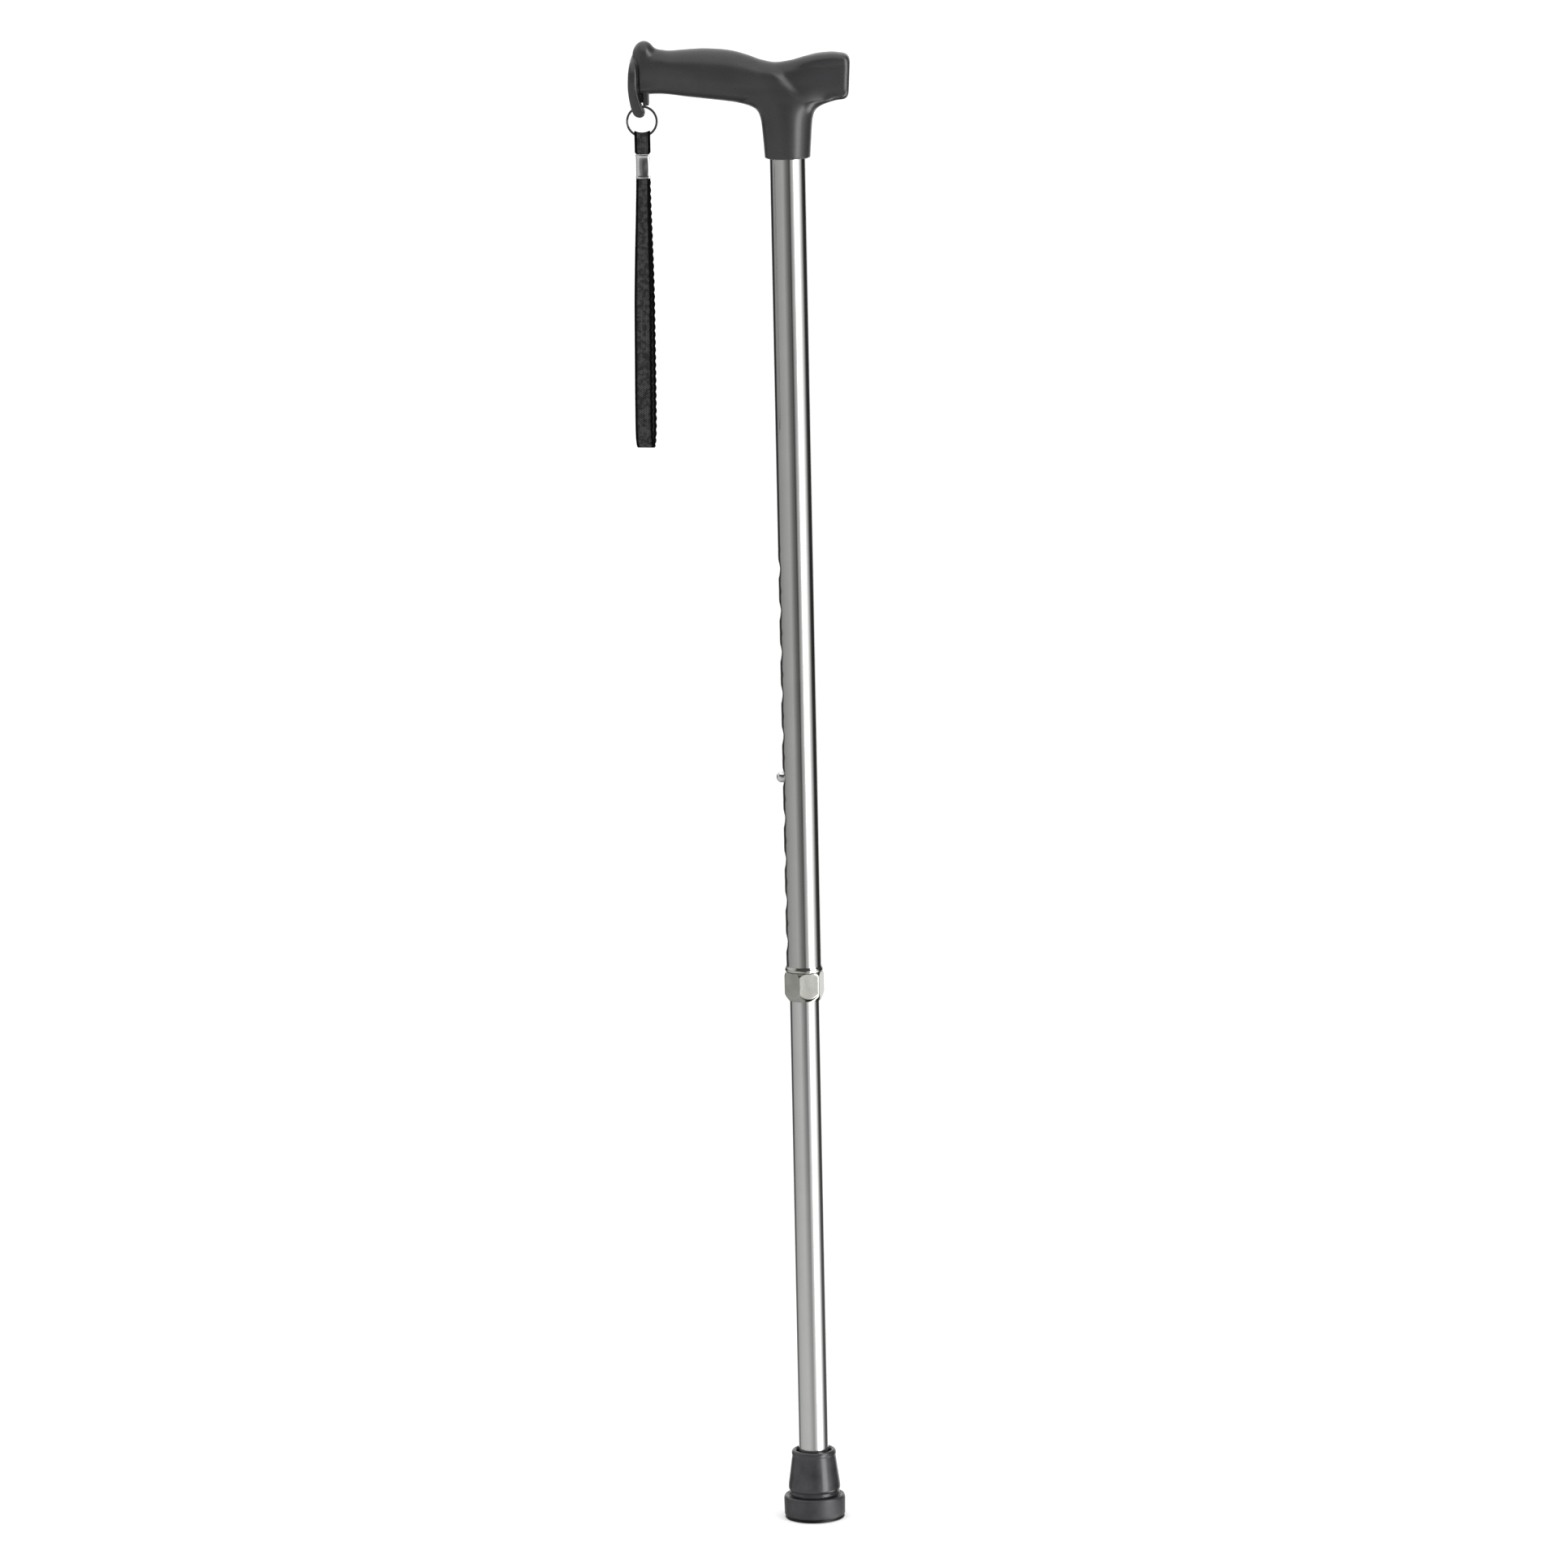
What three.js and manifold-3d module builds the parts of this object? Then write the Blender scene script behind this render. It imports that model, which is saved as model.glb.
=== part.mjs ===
// Adjustable single point cane.
// Frame: millimetres, +Z up along the shaft. Origin at the centre of the rubber tip's sole, on the floor.
// The handle lies along X: its nose points to +X, its end flange, the wrist strap and the adjustment holes are on -X.

import * as THREE from "three";
import { mergeVertices } from "three/addons/utils/BufferGeometryUtils.js";
import Module from "manifold-3d";

const wasm = await Module();
wasm.setup();

// ---------------------------------------------------------------- driving dimensions

// Shaft
const UPPER_R = 10.8; // upper tube, outside radius
const UPPER_BORE_R = 9.4;
const UPPER_Z0 = 342.6; // lower end, inside the end ferrule
const UPPER_Z1 = 875.0; // upper end, inside the handle's socket
const LOWER_R = 9.1;
const LOWER_BORE_R = 7.9;
const LOWER_Z0 = 8.5; // on the washer in the tip
const LOWER_Z1 = 492.0;

// Height adjustment: ten holes, one inch apart, the button in the sixth from the top
const HOLE_PITCH = 25.4;
const HOLES_ABOVE = 5;
const HOLES_BELOW = 4;
const HOLE_R = 3.9;
const BUTTON_Z = 461.1;
const BUTTON_HOLE_R = 3.65; // in the lower tube
const BUTTON_R = 3.35;
const BUTTON_BACK_X = -6.2;

// Lock nut, ferrule and compression ring
const NUT_CORNER_R = 12.55;
const NUT_TURN = 15.5; // degrees that a corner stands off the -Y direction, towards -X
const NUT_Z0 = 323.0;
const NUT_Z1 = 341.4;
const FERRULE_RIM_R = 11.7;
const FERRULE_RIM_Z0 = 341.7;
const FERRULE_RIM_Z1 = 345.0;
const THREAD_R = 10.1;
const THREAD_Z0 = 331.6;

// Rubber tip
const TIP_H = 42.6;
const TIP_FOOT_R = 18.9;
const TIP_NECK_R = 13.4;

// Handle
const SOCKET_Z0 = 834.2;
const SOCKET_BORE_R = 11.1;
const SOCKET_BORE_Z1 = 876.5;

// Wrist strap hardware
const RING_X = -86.3; // centre of the split ring
const RING_Z = 858.7;
const RING_R = 8.8; // to the middle of the wire
const RING_WIRE_RADIAL = 0.6; // half sizes of the wire's section
const RING_WIRE_AXIAL = 1.0;
const WEB_T = 1.3; // webbing thickness
const WEB_W = 10.6; // webbing width
const CRIMP_Z0 = 824.7;
const CRIMP_Z1 = 839.3;
const LOOP_Z0 = 663.0; // lowest point of the wrist loop
const LOOP_TURN = 7; // degrees that the loop is turned round the vertical
const LOOP_LEAN = 0.7; // degrees that it hangs off the shaft's direction

const SEG = 40; // facets round the shaft

// ---------------------------------------------------------------- helpers

const rad = THREE.MathUtils.degToRad;

// A closed geometry as a solid, with its faces turned out.
function solid(geometry) {
  const g = geometry.index ? geometry.toNonIndexed() : geometry.clone();
  const bare = new THREE.BufferGeometry().setAttribute(
    "position",
    g.getAttribute("position"),
  );
  const m = mergeVertices(bare, 1e-4);
  const build = (flip) => {
    const tri = new Uint32Array(m.index.array);
    if (flip)
      for (let i = 0; i < tri.length; i += 3)
        [tri[i + 1], tri[i + 2]] = [tri[i + 2], tri[i + 1]];
    const mesh = new wasm.Mesh({
      numProp: 3,
      vertProperties: new Float32Array(m.attributes.position.array),
      triVerts: tri,
    });
    return new wasm.Manifold(mesh);
  };
  const made = build(false);
  return made.volume() < 0 ? build(true) : made;
}

function geometryOf(made) {
  const mesh = made.getMesh();
  const g = new THREE.BufferGeometry();
  g.setAttribute(
    "position",
    new THREE.BufferAttribute(new Float32Array(mesh.vertProperties), 3),
  );
  g.setIndex(new THREE.BufferAttribute(new Uint32Array(mesh.triVerts), 1));
  const flat = g.toNonIndexed();
  flat.computeVertexNormals();
  return flat;
}

// Profile of [radius, z] points turned round the Z axis.
function turned(profile, segments = SEG) {
  const g = new THREE.LatheGeometry(
    profile.map(([r, z]) => new THREE.Vector2(r, z)),
    segments,
  );
  g.rotateX(Math.PI / 2);
  g.rotateZ(Math.PI / segments);
  return g;
}

// A closed profile: it comes back to its first point.
const ringProfile = (points) => [...points, points[0]];

// Cylinder along X from x0 to x1.
function barX(x0, x1, r0, r1, y, z, segments = 24) {
  const g = new THREE.CylinderGeometry(r1, r0, x1 - x0, segments, 1);
  g.rotateZ(-Math.PI / 2);
  g.translate((x0 + x1) / 2, y, z);
  return g;
}

// Cylinder along Y from y0 to y1.
function barY(y0, y1, r, x, z, segments = 24) {
  const g = new THREE.CylinderGeometry(r, r, y1 - y0, segments, 1);
  g.translate(x, (y0 + y1) / 2, z);
  return g;
}

// Cylinder along Z from z0 to z1.
function barZ(z0, z1, r0, r1, segments = SEG) {
  const g = new THREE.CylinderGeometry(r1, r0, z1 - z0, segments, 1);
  g.rotateX(Math.PI / 2);
  g.rotateZ(Math.PI / segments);
  g.translate(0, 0, (z0 + z1) / 2);
  return g;
}

// Skin over rings of points, closed by a fan at each end.
function loft(rings) {
  const n = rings[0].length;
  const pts = rings.flat();
  const centre = (ring) =>
    ring
      .reduce((s, p) => [s[0] + p[0] / n, s[1] + p[1] / n, s[2] + p[2] / n], [
        0, 0, 0,
      ]);
  const a = pts.length;
  pts.push(centre(rings[0]), centre(rings[rings.length - 1]));
  const tri = [];
  for (let i = 0; i + 1 < rings.length; i++)
    for (let j = 0; j < n; j++) {
      const k = (j + 1) % n;
      const p = i * n;
      const q = p + n;
      tri.push(p + j, p + k, q + k, p + j, q + k, q + j);
    }
  const last = (rings.length - 1) * n;
  for (let j = 0; j < n; j++) {
    const k = (j + 1) % n;
    tri.push(a, k, j, a + 1, last + j, last + k);
  }
  const g = new THREE.BufferGeometry();
  g.setAttribute(
    "position",
    new THREE.Float32BufferAttribute(pts.flat(), 3),
  );
  g.setIndex(tri);
  return g;
}

// Smooth curve through [x, value] points.
function curve(points) {
  const n = points.length;
  const d = [];
  for (let i = 0; i + 1 < n; i++)
    d.push(
      (points[i + 1][1] - points[i][1]) / (points[i + 1][0] - points[i][0]),
    );
  const m = points.map((_, i) => {
    if (i === 0) return d[0];
    if (i === n - 1) return d[n - 2];
    if (d[i - 1] * d[i] <= 0) return 0;
    return (2 * d[i - 1] * d[i]) / (d[i - 1] + d[i]);
  });
  return (x) => {
    if (x <= points[0][0]) return points[0][1];
    if (x >= points[n - 1][0]) return points[n - 1][1];
    let i = 0;
    while (x > points[i + 1][0]) i++;
    const h = points[i + 1][0] - points[i][0];
    const t = (x - points[i][0]) / h;
    const t2 = t * t;
    const t3 = t2 * t;
    return (
      (2 * t3 - 3 * t2 + 1) * points[i][1] +
      (t3 - 2 * t2 + t) * h * m[i] +
      (-2 * t3 + 3 * t2) * points[i + 1][1] +
      (t3 - t2) * h * m[i + 1]
    );
  };
}

const power = (v, p) => Math.sign(v) * Math.abs(v) ** p;

// ---------------------------------------------------------------- materials

const charcoal = new THREE.Color(0.085, 0.085, 0.095);
const finish = {
  handle: () =>
    new THREE.MeshStandardMaterial({ color: charcoal, roughness: 0.45 }),
  aluminium: () =>
    new THREE.MeshStandardMaterial({
      color: new THREE.Color(0.62, 0.62, 0.6),
      roughness: 0.28,
      metalness: 1,
    }),
  chrome: () =>
    new THREE.MeshStandardMaterial({
      color: new THREE.Color(0.85, 0.85, 0.86),
      roughness: 0.08,
      metalness: 1,
    }),
  steel: () =>
    new THREE.MeshStandardMaterial({
      color: new THREE.Color(0.5, 0.5, 0.52),
      roughness: 0.35,
      metalness: 1,
    }),
  rubber: () =>
    new THREE.MeshStandardMaterial({
      color: new THREE.Color(0.075, 0.075, 0.085),
      roughness: 0.7,
    }),
  nylon: () =>
    new THREE.MeshStandardMaterial({
      color: new THREE.Color(0.75, 0.74, 0.7),
      roughness: 0.5,
    }),
  webbing: () =>
    new THREE.MeshStandardMaterial({
      color: new THREE.Color(0.025, 0.025, 0.028),
      roughness: 0.95,
    }),
};

// ---------------------------------------------------------------- handle

// Outline of the grip seen from the side, and its plan and widest height, along X.
const gripTop = curve([
  [-88, 899.5],
  [-78, 901.5],
  [-69, 900.5],
  [-60, 901.0],
  [-50, 901.4],
  [-40, 900.9],
  [-32, 899.8],
  [-23, 897.2],
  [-14, 893.9],
  [-6, 892.4],
  [2, 893.3],
  [12, 895.8],
  [20, 897.4],
  [27, 897.8],
  [33, 897.2],
  [38.1, 896.2],
]);
const gripBottom = curve([
  [-88, 874.8],
  [-77, 875.0],
  [-57, 872.7],
  [-38, 870.3],
  [-26, 868.7],
  [-10, 867.6],
  [8, 866.8],
  [20, 867.4],
  [30, 869.1],
  [38.1, 869.8],
]);
const gripWidest = curve([
  [-88, 889],
  [-78, 890],
  [-64, 888],
  [-50, 886],
  [-36, 884],
  [-20, 882],
  [0, 881],
  [20, 883],
  [38.1, 883],
]);
const gripHalfWidth = curve([
  [-88, 12.6],
  [-78, 12.2],
  [-66, 14.0],
  [-50, 16.4],
  [-36, 16.8],
  [-22, 15.8],
  [-6, 14.2],
  [8, 13.8],
  [24, 13.6],
  [38.1, 12.8],
]);

// One cross-section of the grip in the YZ plane at x, inset all round by e.
function gripRing(x, e, n) {
  const zt = gripTop(x) - e;
  const zb = gripBottom(x) + e;
  const zw = gripWidest(x);
  const w = gripHalfWidth(x) - e;
  const boxy = THREE.MathUtils.smoothstep(x, 5, 30);
  const up = 2.15 + 1.1 * boxy;
  const down = 2.35 + 0.9 * boxy;
  const ring = [];
  for (let j = 0; j < n; j++) {
    const t = (2 * Math.PI * (j + 0.5)) / n;
    const c = Math.cos(t);
    const s = Math.sin(t);
    const k = s > 0 ? up : down;
    const y = w * power(c, 2 / k);
    const z = zw + (s > 0 ? zt - zw : zw - zb) * power(s, 2 / k);
    // the end face of the nose leans back a little at the bottom
    const lean = THREE.MathUtils.smoothstep(x, 22, 38.1) * 0.055 * (z - 892);
    ring.push([x + Math.min(lean, 0), y, z]);
  }
  return ring;
}

// Socket: left and right edges seen from the side, and half depth, along Z.
const socketLeft = curve([
  [834.2, -13.5],
  [846, -14.3],
  [857, -15.3],
  [861.5, -16.4],
  [864.5, -18.3],
  [867, -22.0],
  [869.5, -28.5],
]);
const socketRight = curve([
  [834.2, 13.5],
  [846, 14.3],
  [857, 15.2],
  [861.5, 16.2],
  [864.5, 18.1],
  [867, 21.4],
  [869.5, 27.5],
]);
const socketDepth = curve([
  [834.2, 13.5],
  [846, 13.9],
  [857, 14.2],
  [869.5, 13.9],
]);
function socketRing(z, e, n) {
  const l = socketLeft(z) + e;
  const r = socketRight(z) - e;
  const d = socketDepth(z) - e;
  const ring = [];
  for (let j = 0; j < n; j++) {
    const t = (2 * Math.PI * (j + 0.5)) / n;
    ring.push([(l + r) / 2 + ((r - l) / 2) * Math.cos(t), d * Math.sin(t), z]);
  }
  return ring;
}

// Flange plate: an oval plate across the end of the grip.
function flangeRing(x, e, n) {
  const top = 896.9 - e;
  const bottom = 869.0 + e;
  const w = 16.6 - e;
  const ring = [];
  for (let j = 0; j < n; j++) {
    const t = (2 * Math.PI * (j + 0.5)) / n;
    const c = Math.cos(t);
    const s = Math.sin(t);
    ring.push([
      x,
      w * power(c, 2 / 2.2),
      (top + bottom) / 2 + ((top - bottom) / 2) * power(s, 2 / 2.2),
    ]);
  }
  return ring;
}

// Lug under the flange: left edge, right edge and half width along Z.
const lugLeft = curve([
  [860.6, -88.7],
  [861.4, -89.3],
  [864.4, -90.5],
  [869, -91.9],
  [875.5, -93.1],
  [882, -93.2],
]);
const lugRight = curve([
  [860.6, -86.0],
  [861.4, -84.9],
  [864.4, -83.6],
  [869, -83.0],
  [875.5, -81.8],
  [882, -81.0],
]);
const lugHalf = curve([
  [860.6, 3.0],
  [861.6, 4.4],
  [864.4, 5.8],
  [869, 6.8],
  [875.5, 9.0],
  [882, 11.5],
]);
function lugRing(z, n) {
  const l = lugLeft(z);
  const r = lugRight(z);
  const d = lugHalf(z);
  const ring = [];
  for (let j = 0; j < n; j++) {
    const t = (2 * Math.PI * (j + 0.5)) / n;
    ring.push([
      (l + r) / 2 + ((r - l) / 2) * power(Math.cos(t), 2 / 3),
      d * power(Math.sin(t), 2 / 3),
      z,
    ]);
  }
  return ring;
}

function makeHandle() {
  const n = 28;
  const stations = [
    -88, -79, -70, -61, -52, -43, -35, -28, -21, -14, -7, 0, 7, 14, 21, 28, 33,
    36.2,
  ];
  const rings = stations.map((x) => gripRing(x, 0, n));
  rings.push(gripRing(37.4, 0.8, n), gripRing(38.1, 2.2, n));
  let made = solid(loft(rings));

  const socket = [socketRing(834.2, 0.9, n), socketRing(835.1, 0, n)];
  for (const z of [846, 857, 861.5, 864.5, 866.5, 868, 869.5])
    socket.push(socketRing(z, 0, n));
  socket.push(socketRing(874, 4, n));
  made = made.add(solid(loft(socket)));

  const plate = [
    flangeRing(-93.2, 1.6, n),
    flangeRing(-92.6, 0.5, n),
    flangeRing(-91.8, 0, n),
    flangeRing(-88.4, 0, n),
    flangeRing(-87.2, 0.8, n),
    flangeRing(-85.4, 3.0, n),
    flangeRing(-82.0, 4.6, n),
  ];
  made = made.add(solid(loft(plate)));

  // knob on top of the flange
  const knob = new THREE.SphereGeometry(1, 20, 12);
  knob.scale(6.9, 10.5, 8.9);
  knob.translate(-84.2, 0, 897.6);
  made = made.add(solid(knob));

  // strap lug
  const lug = [];
  for (const z of [860.6, 861.4, 862.6, 864.4, 866.6, 869, 872, 875.5, 880])
    lug.push(lugRing(z, 20));
  made = made.add(solid(loft(lug)));

  // bore for the upper tube, with a small lead-in at its mouth
  made = made.subtract(
    solid(barZ(SOCKET_Z0 - 2, SOCKET_BORE_Z1, SOCKET_BORE_R, SOCKET_BORE_R)),
  );
  made = made.subtract(
    solid(
      barZ(SOCKET_Z0 - 0.5, SOCKET_Z0 + 0.7, SOCKET_BORE_R + 1.2, SOCKET_BORE_R),
    ),
  );

  // hole of the lug, flared on both sides so that the ring can swing in it
  const hz = 868.1;
  made = made
    .subtract(solid(barX(RING_X - 9, RING_X + 9, 2.5, 2.5, 0, hz, 20)))
    .subtract(solid(barX(RING_X - 9, RING_X - 2.2, 6.2, 2.5, 0, hz, 20)))
    .subtract(solid(barX(RING_X + 2.2, RING_X + 5.6, 2.5, 4.3, 0, hz, 20)));

  // screw hole from the back of the socket, with its counterbore
  made = made
    .subtract(solid(barY(8, 20, 2.1, 0, SCREW_Z, 20)))
    .subtract(solid(barY(11.9, 20, 4.1, 0, SCREW_Z, 24)));
  return made;
}
const SCREW_Z = 852;

// ---------------------------------------------------------------- shaft

function makeUpperTube() {
  let made = solid(
    turned(
      ringProfile([
        [UPPER_BORE_R, UPPER_Z0],
        [UPPER_R, UPPER_Z0],
        [UPPER_R, UPPER_Z1],
        [UPPER_BORE_R, UPPER_Z1],
      ]),
    ),
  );
  for (let i = -HOLES_BELOW; i <= HOLES_ABOVE; i++)
    made = made.subtract(
      solid(barX(-13, -5, HOLE_R, HOLE_R, 0, BUTTON_Z + i * HOLE_PITCH, 24)),
    );
  // pilot hole for the handle's screw
  return made.subtract(solid(barY(5, 13, 2.1, 0, SCREW_Z, 20)));
}

function makeLowerTube() {
  const made = solid(
    turned(
      ringProfile([
        [LOWER_BORE_R, LOWER_Z0],
        [LOWER_R, LOWER_Z0],
        [LOWER_R, LOWER_Z1],
        [LOWER_BORE_R, LOWER_Z1],
      ]),
    ),
  );
  return made.subtract(
    solid(barX(-12, -4, BUTTON_HOLE_R, BUTTON_HOLE_R, 0, BUTTON_Z, 24)),
  );
}

// Snap button: domed pin along -X.
function makeButton() {
  const g = turned(
    [
      [0, 0],
      [BUTTON_R - 0.3, 0],
      [BUTTON_R, 0.3],
      [BUTTON_R, 5.6],
      [3.2, 6.3],
      [2.8, 7.0],
      [2.1, 7.6],
      [1.1, 8.05],
      [0, 8.2],
    ],
    24,
  );
  g.rotateY(-Math.PI / 2);
  g.translate(BUTTON_BACK_X, 0, BUTTON_Z);
  return solid(g);
}

// Leaf spring: a bent strip inside the lower tube, one leg behind the button.
function makeSpring() {
  const t = 0.4; // half thickness
  const line = [
    [-5.5, BUTTON_Z + 6],
    [-5.5, BUTTON_Z - 5],
    [-4.9, BUTTON_Z - 16],
    [-3.4, BUTTON_Z - 32],
    [-2.2, BUTTON_Z - 38.5],
    [-0.2, BUTTON_Z - 41.2],
    [2.2, BUTTON_Z - 40.6],
    [4.0, BUTTON_Z - 37],
    [5.6, BUTTON_Z - 28],
    [6.4, BUTTON_Z - 14],
    [6.4, BUTTON_Z - 2],
  ];
  const left = [];
  const right = [];
  line.forEach(([x, z], i) => {
    const a = line[Math.max(i - 1, 0)];
    const b = line[Math.min(i + 1, line.length - 1)];
    const l = Math.hypot(b[0] - a[0], b[1] - a[1]);
    const nx = (b[1] - a[1]) / l;
    const nz = -(b[0] - a[0]) / l;
    left.push(new THREE.Vector2(x + nx * t, z + nz * t));
    right.push(new THREE.Vector2(x - nx * t, z - nz * t));
  });
  const shape = new THREE.Shape([...left, ...right.reverse()]);
  const g = new THREE.ExtrudeGeometry(shape, {
    depth: 6.4,
    bevelEnabled: false,
  });
  g.translate(0, 0, -3.2);
  g.rotateX(Math.PI / 2); // shape's y becomes z
  return solid(g);
}

// Nylon bush in the top of the lower tube, its flange running in the upper bore.
function makeGuideBush() {
  return solid(
    turned(
      ringProfile([
        [5.6, LOWER_Z1 - 9.6],
        [7.3, LOWER_Z1 - 9.6],
        [7.6, LOWER_Z1 - 8.8],
        [7.6, LOWER_Z1 + 0.3],
        [8.8, LOWER_Z1 + 0.3],
        [9.15, LOWER_Z1 + 0.7],
        [9.15, LOWER_Z1 + 2.2],
        [8.6, LOWER_Z1 + 2.8],
        [5.6, LOWER_Z1 + 2.8],
      ]),
      40,
    ),
  );
}

// ---------------------------------------------------------------- collar

function makeFerrule() {
  return solid(
    turned(
      ringProfile([
        [9.4, THREAD_Z0],
        [THREAD_R - 0.35, THREAD_Z0],
        [THREAD_R, THREAD_Z0 + 0.5],
        [THREAD_R, FERRULE_RIM_Z0],
        [FERRULE_RIM_R, FERRULE_RIM_Z0],
        [FERRULE_RIM_R, FERRULE_RIM_Z1 - 0.6],
        [FERRULE_RIM_R - 0.4, FERRULE_RIM_Z1],
        [UPPER_R + 0.25, FERRULE_RIM_Z1],
        [UPPER_R + 0.25, UPPER_Z0 - 0.3],
        [9.4, UPPER_Z0 - 0.3],
      ]),
    ),
  );
}

function makeNut() {
  // six flats
  const hex = new THREE.CylinderGeometry(
    NUT_CORNER_R,
    NUT_CORNER_R,
    NUT_Z1 - NUT_Z0 + 2,
    6,
    1,
  );
  hex.rotateX(Math.PI / 2);
  // a corner of the turned cylinder lies on -Y; turn it towards -X
  hex.rotateZ(rad(-NUT_TURN));
  hex.translate(0, 0, (NUT_Z0 + NUT_Z1) / 2);
  // chamfers and cone
  const envelope = turned(
    [
      [0, NUT_Z0],
      [9.75, NUT_Z0],
      [10.2, NUT_Z0 + 0.9],
      [11.4, NUT_Z0 + 2.9],
      [12.2, NUT_Z0 + 4.7],
      [12.6, NUT_Z0 + 6.6],
      [12.6, NUT_Z1 - 2.2],
      [11.6, NUT_Z1 - 0.5],
      [11.4, NUT_Z1],
      [0, NUT_Z1],
    ],
    48,
  );
  const bore = turned(
    [
      [0, NUT_Z0 - 1],
      [9.4, NUT_Z0 - 1],
      [9.4, NUT_Z0 + 2.4],
      [9.9, NUT_Z0 + 3.6],
      [10.4, NUT_Z0 + 5.6],
      [10.4, NUT_Z1 - 0.4],
      [10.9, NUT_Z1 + 0.1],
      [10.9, NUT_Z1 + 1],
      [0, NUT_Z1 + 1],
    ],
    SEG,
  );
  return solid(hex).intersect(solid(envelope)).subtract(solid(bore));
}

// Split nylon ring between the ferrule's thread and the nut's cone.
function makeCompressionRing() {
  const made = solid(
    turned(
      ringProfile([
        [9.35, 327.4],
        [9.6, 327.4],
        [10.1, 329.2],
        [10.1, 331.3],
        [9.35, 331.3],
      ]),
    ),
  );
  const slit = new THREE.BoxGeometry(3, 1.2, 8);
  slit.translate(9.8, 0, 329.4);
  return made.subtract(solid(slit));
}

// ---------------------------------------------------------------- tip

function makeTip() {
  const groove = (r0, r1, d) => [
    [r0, 0],
    [r0 + 0.25, d],
    [r1 - 0.25, d],
    [r1, 0],
  ];
  return solid(
    turned([
      [0, 0],
      ...groove(5.0, 6.8, 1.3),
      ...groove(9.2, 11.0, 1.3),
      ...groove(13.4, 15.0, 1.3),
      [17.8, 0],
      [18.4, 0.4],
      [18.65, 1.2],
      [TIP_FOOT_R, 12.6],
      [18.75, 13.7],
      [18.0, 14.7],
      [16.9, 15.2],
      [16.35, 15.9],
      [16.25, 17.4],
      [TIP_NECK_R, 39.6],
      [13.2, 41.1],
      [12.6, 42.2],
      [11.7, TIP_H],
      [10.6, 42.1],
      [9.8, 40.8],
      [9.4, 39.2],
      [9.4, 6.4],
      [0, 6.4],
    ], 36),
  );
}

function makeWasher() {
  return solid(
    turned(
      ringProfile([
        [2.0, 6.7],
        [8.8, 6.7],
        [8.8, 8.2],
        [2.0, 8.2],
      ]),
      36,
    ),
  );
}

// ---------------------------------------------------------------- screw

// Pan head self-tapping screw from the back of the socket, along -Y.
function makeScrew() {
  const g = turned(
    [
      [0, 0],
      [0.5, 0],
      [1.5, 1.4],
      [1.75, 2.2],
      [1.75, 6.0],
      [3.5, 6.0],
      [3.7, 6.4],
      [3.6, 7.2],
      [2.9, 7.9],
      [1.6, 8.2],
      [0, 8.25],
    ],
    24,
  );
  g.rotateX(-Math.PI / 2); // along +Y
  g.translate(0, 6.2, SCREW_Z);
  let made = solid(g);
  const slotA = new THREE.BoxGeometry(4.2, 1.4, 0.8);
  slotA.translate(0, 14.3, SCREW_Z);
  const slotB = new THREE.BoxGeometry(0.8, 1.4, 4.2);
  slotB.translate(0, 14.3, SCREW_Z);
  made = made.subtract(solid(slotA)).subtract(solid(slotB));
  return made;
}

// ---------------------------------------------------------------- wrist strap

function makeRing() {
  const a = RING_WIRE_RADIAL;
  const b = RING_WIRE_AXIAL;
  const c = 0.3;
  const g = new THREE.LatheGeometry(
    ringProfile([
      [RING_R - a, -b + c],
      [RING_R - a + c, -b],
      [RING_R + a - c, -b],
      [RING_R + a, -b + c],
      [RING_R + a, b - c],
      [RING_R + a - c, b],
      [RING_R - a + c, b],
      [RING_R - a, b - c],
    ]).map(([r, y]) => new THREE.Vector2(r, y)),
    40,
  );
  g.translate(RING_X, 0, RING_Z); // its axis is Y
  return solid(g);
}

// Height of the ring's wire at its lowest part, dx from the middle.
const wireRise = (dx) => RING_R - Math.sqrt(RING_R ** 2 - dx ** 2);

// Short loop of webbing round the ring, its two layers meeting above the crimp.
function makeTab() {
  const zc = RING_Z - RING_R;
  const ri = 1.3; // inside radius round the wire
  const ro = ri + 0.95;
  const neck = 1.15; // half thickness of the two layers at the crimp
  const z0 = CRIMP_Z1 + 0.3;
  const outer = [];
  outer.push(new THREE.Vector2(neck, z0));
  outer.push(new THREE.Vector2(neck + 0.35, z0 + 3.2));
  for (let i = 0; i <= 12; i++) {
    const t = -0.25 + (i / 12) * (Math.PI + 0.5);
    outer.push(new THREE.Vector2(ro * Math.cos(t), zc + ro * Math.sin(t)));
  }
  outer.push(new THREE.Vector2(-neck - 0.35, z0 + 3.2));
  outer.push(new THREE.Vector2(-neck, z0));
  const shape = new THREE.Shape(outer);
  const hole = [];
  for (let i = 0; i <= 12; i++) {
    const t = -0.2 + (i / 12) * (Math.PI + 0.4);
    hole.push(new THREE.Vector2(ri * Math.cos(t), zc + ri * Math.sin(t)));
  }
  hole.push(new THREE.Vector2(0, z0 + 5.0));
  shape.holes.push(new THREE.Path(hole));
  const g = new THREE.ExtrudeGeometry(shape, {
    depth: 9.5,
    steps: 6,
    bevelEnabled: false,
  });
  g.translate(0, 0, -4.75);
  // shape x is Y, shape y is Z, depth is X
  const p = g.getAttribute("position");
  for (let i = 0; i < p.count; i++) {
    const y = p.getX(i);
    const z = p.getY(i);
    const x = p.getZ(i);
    const follow = THREE.MathUtils.smoothstep(z, z0 + 1, zc - 1.5);
    p.setXYZ(i, RING_X + x, y, z + 0.9 * follow * wireRise(x));
  }
  return solid(g);
}

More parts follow.
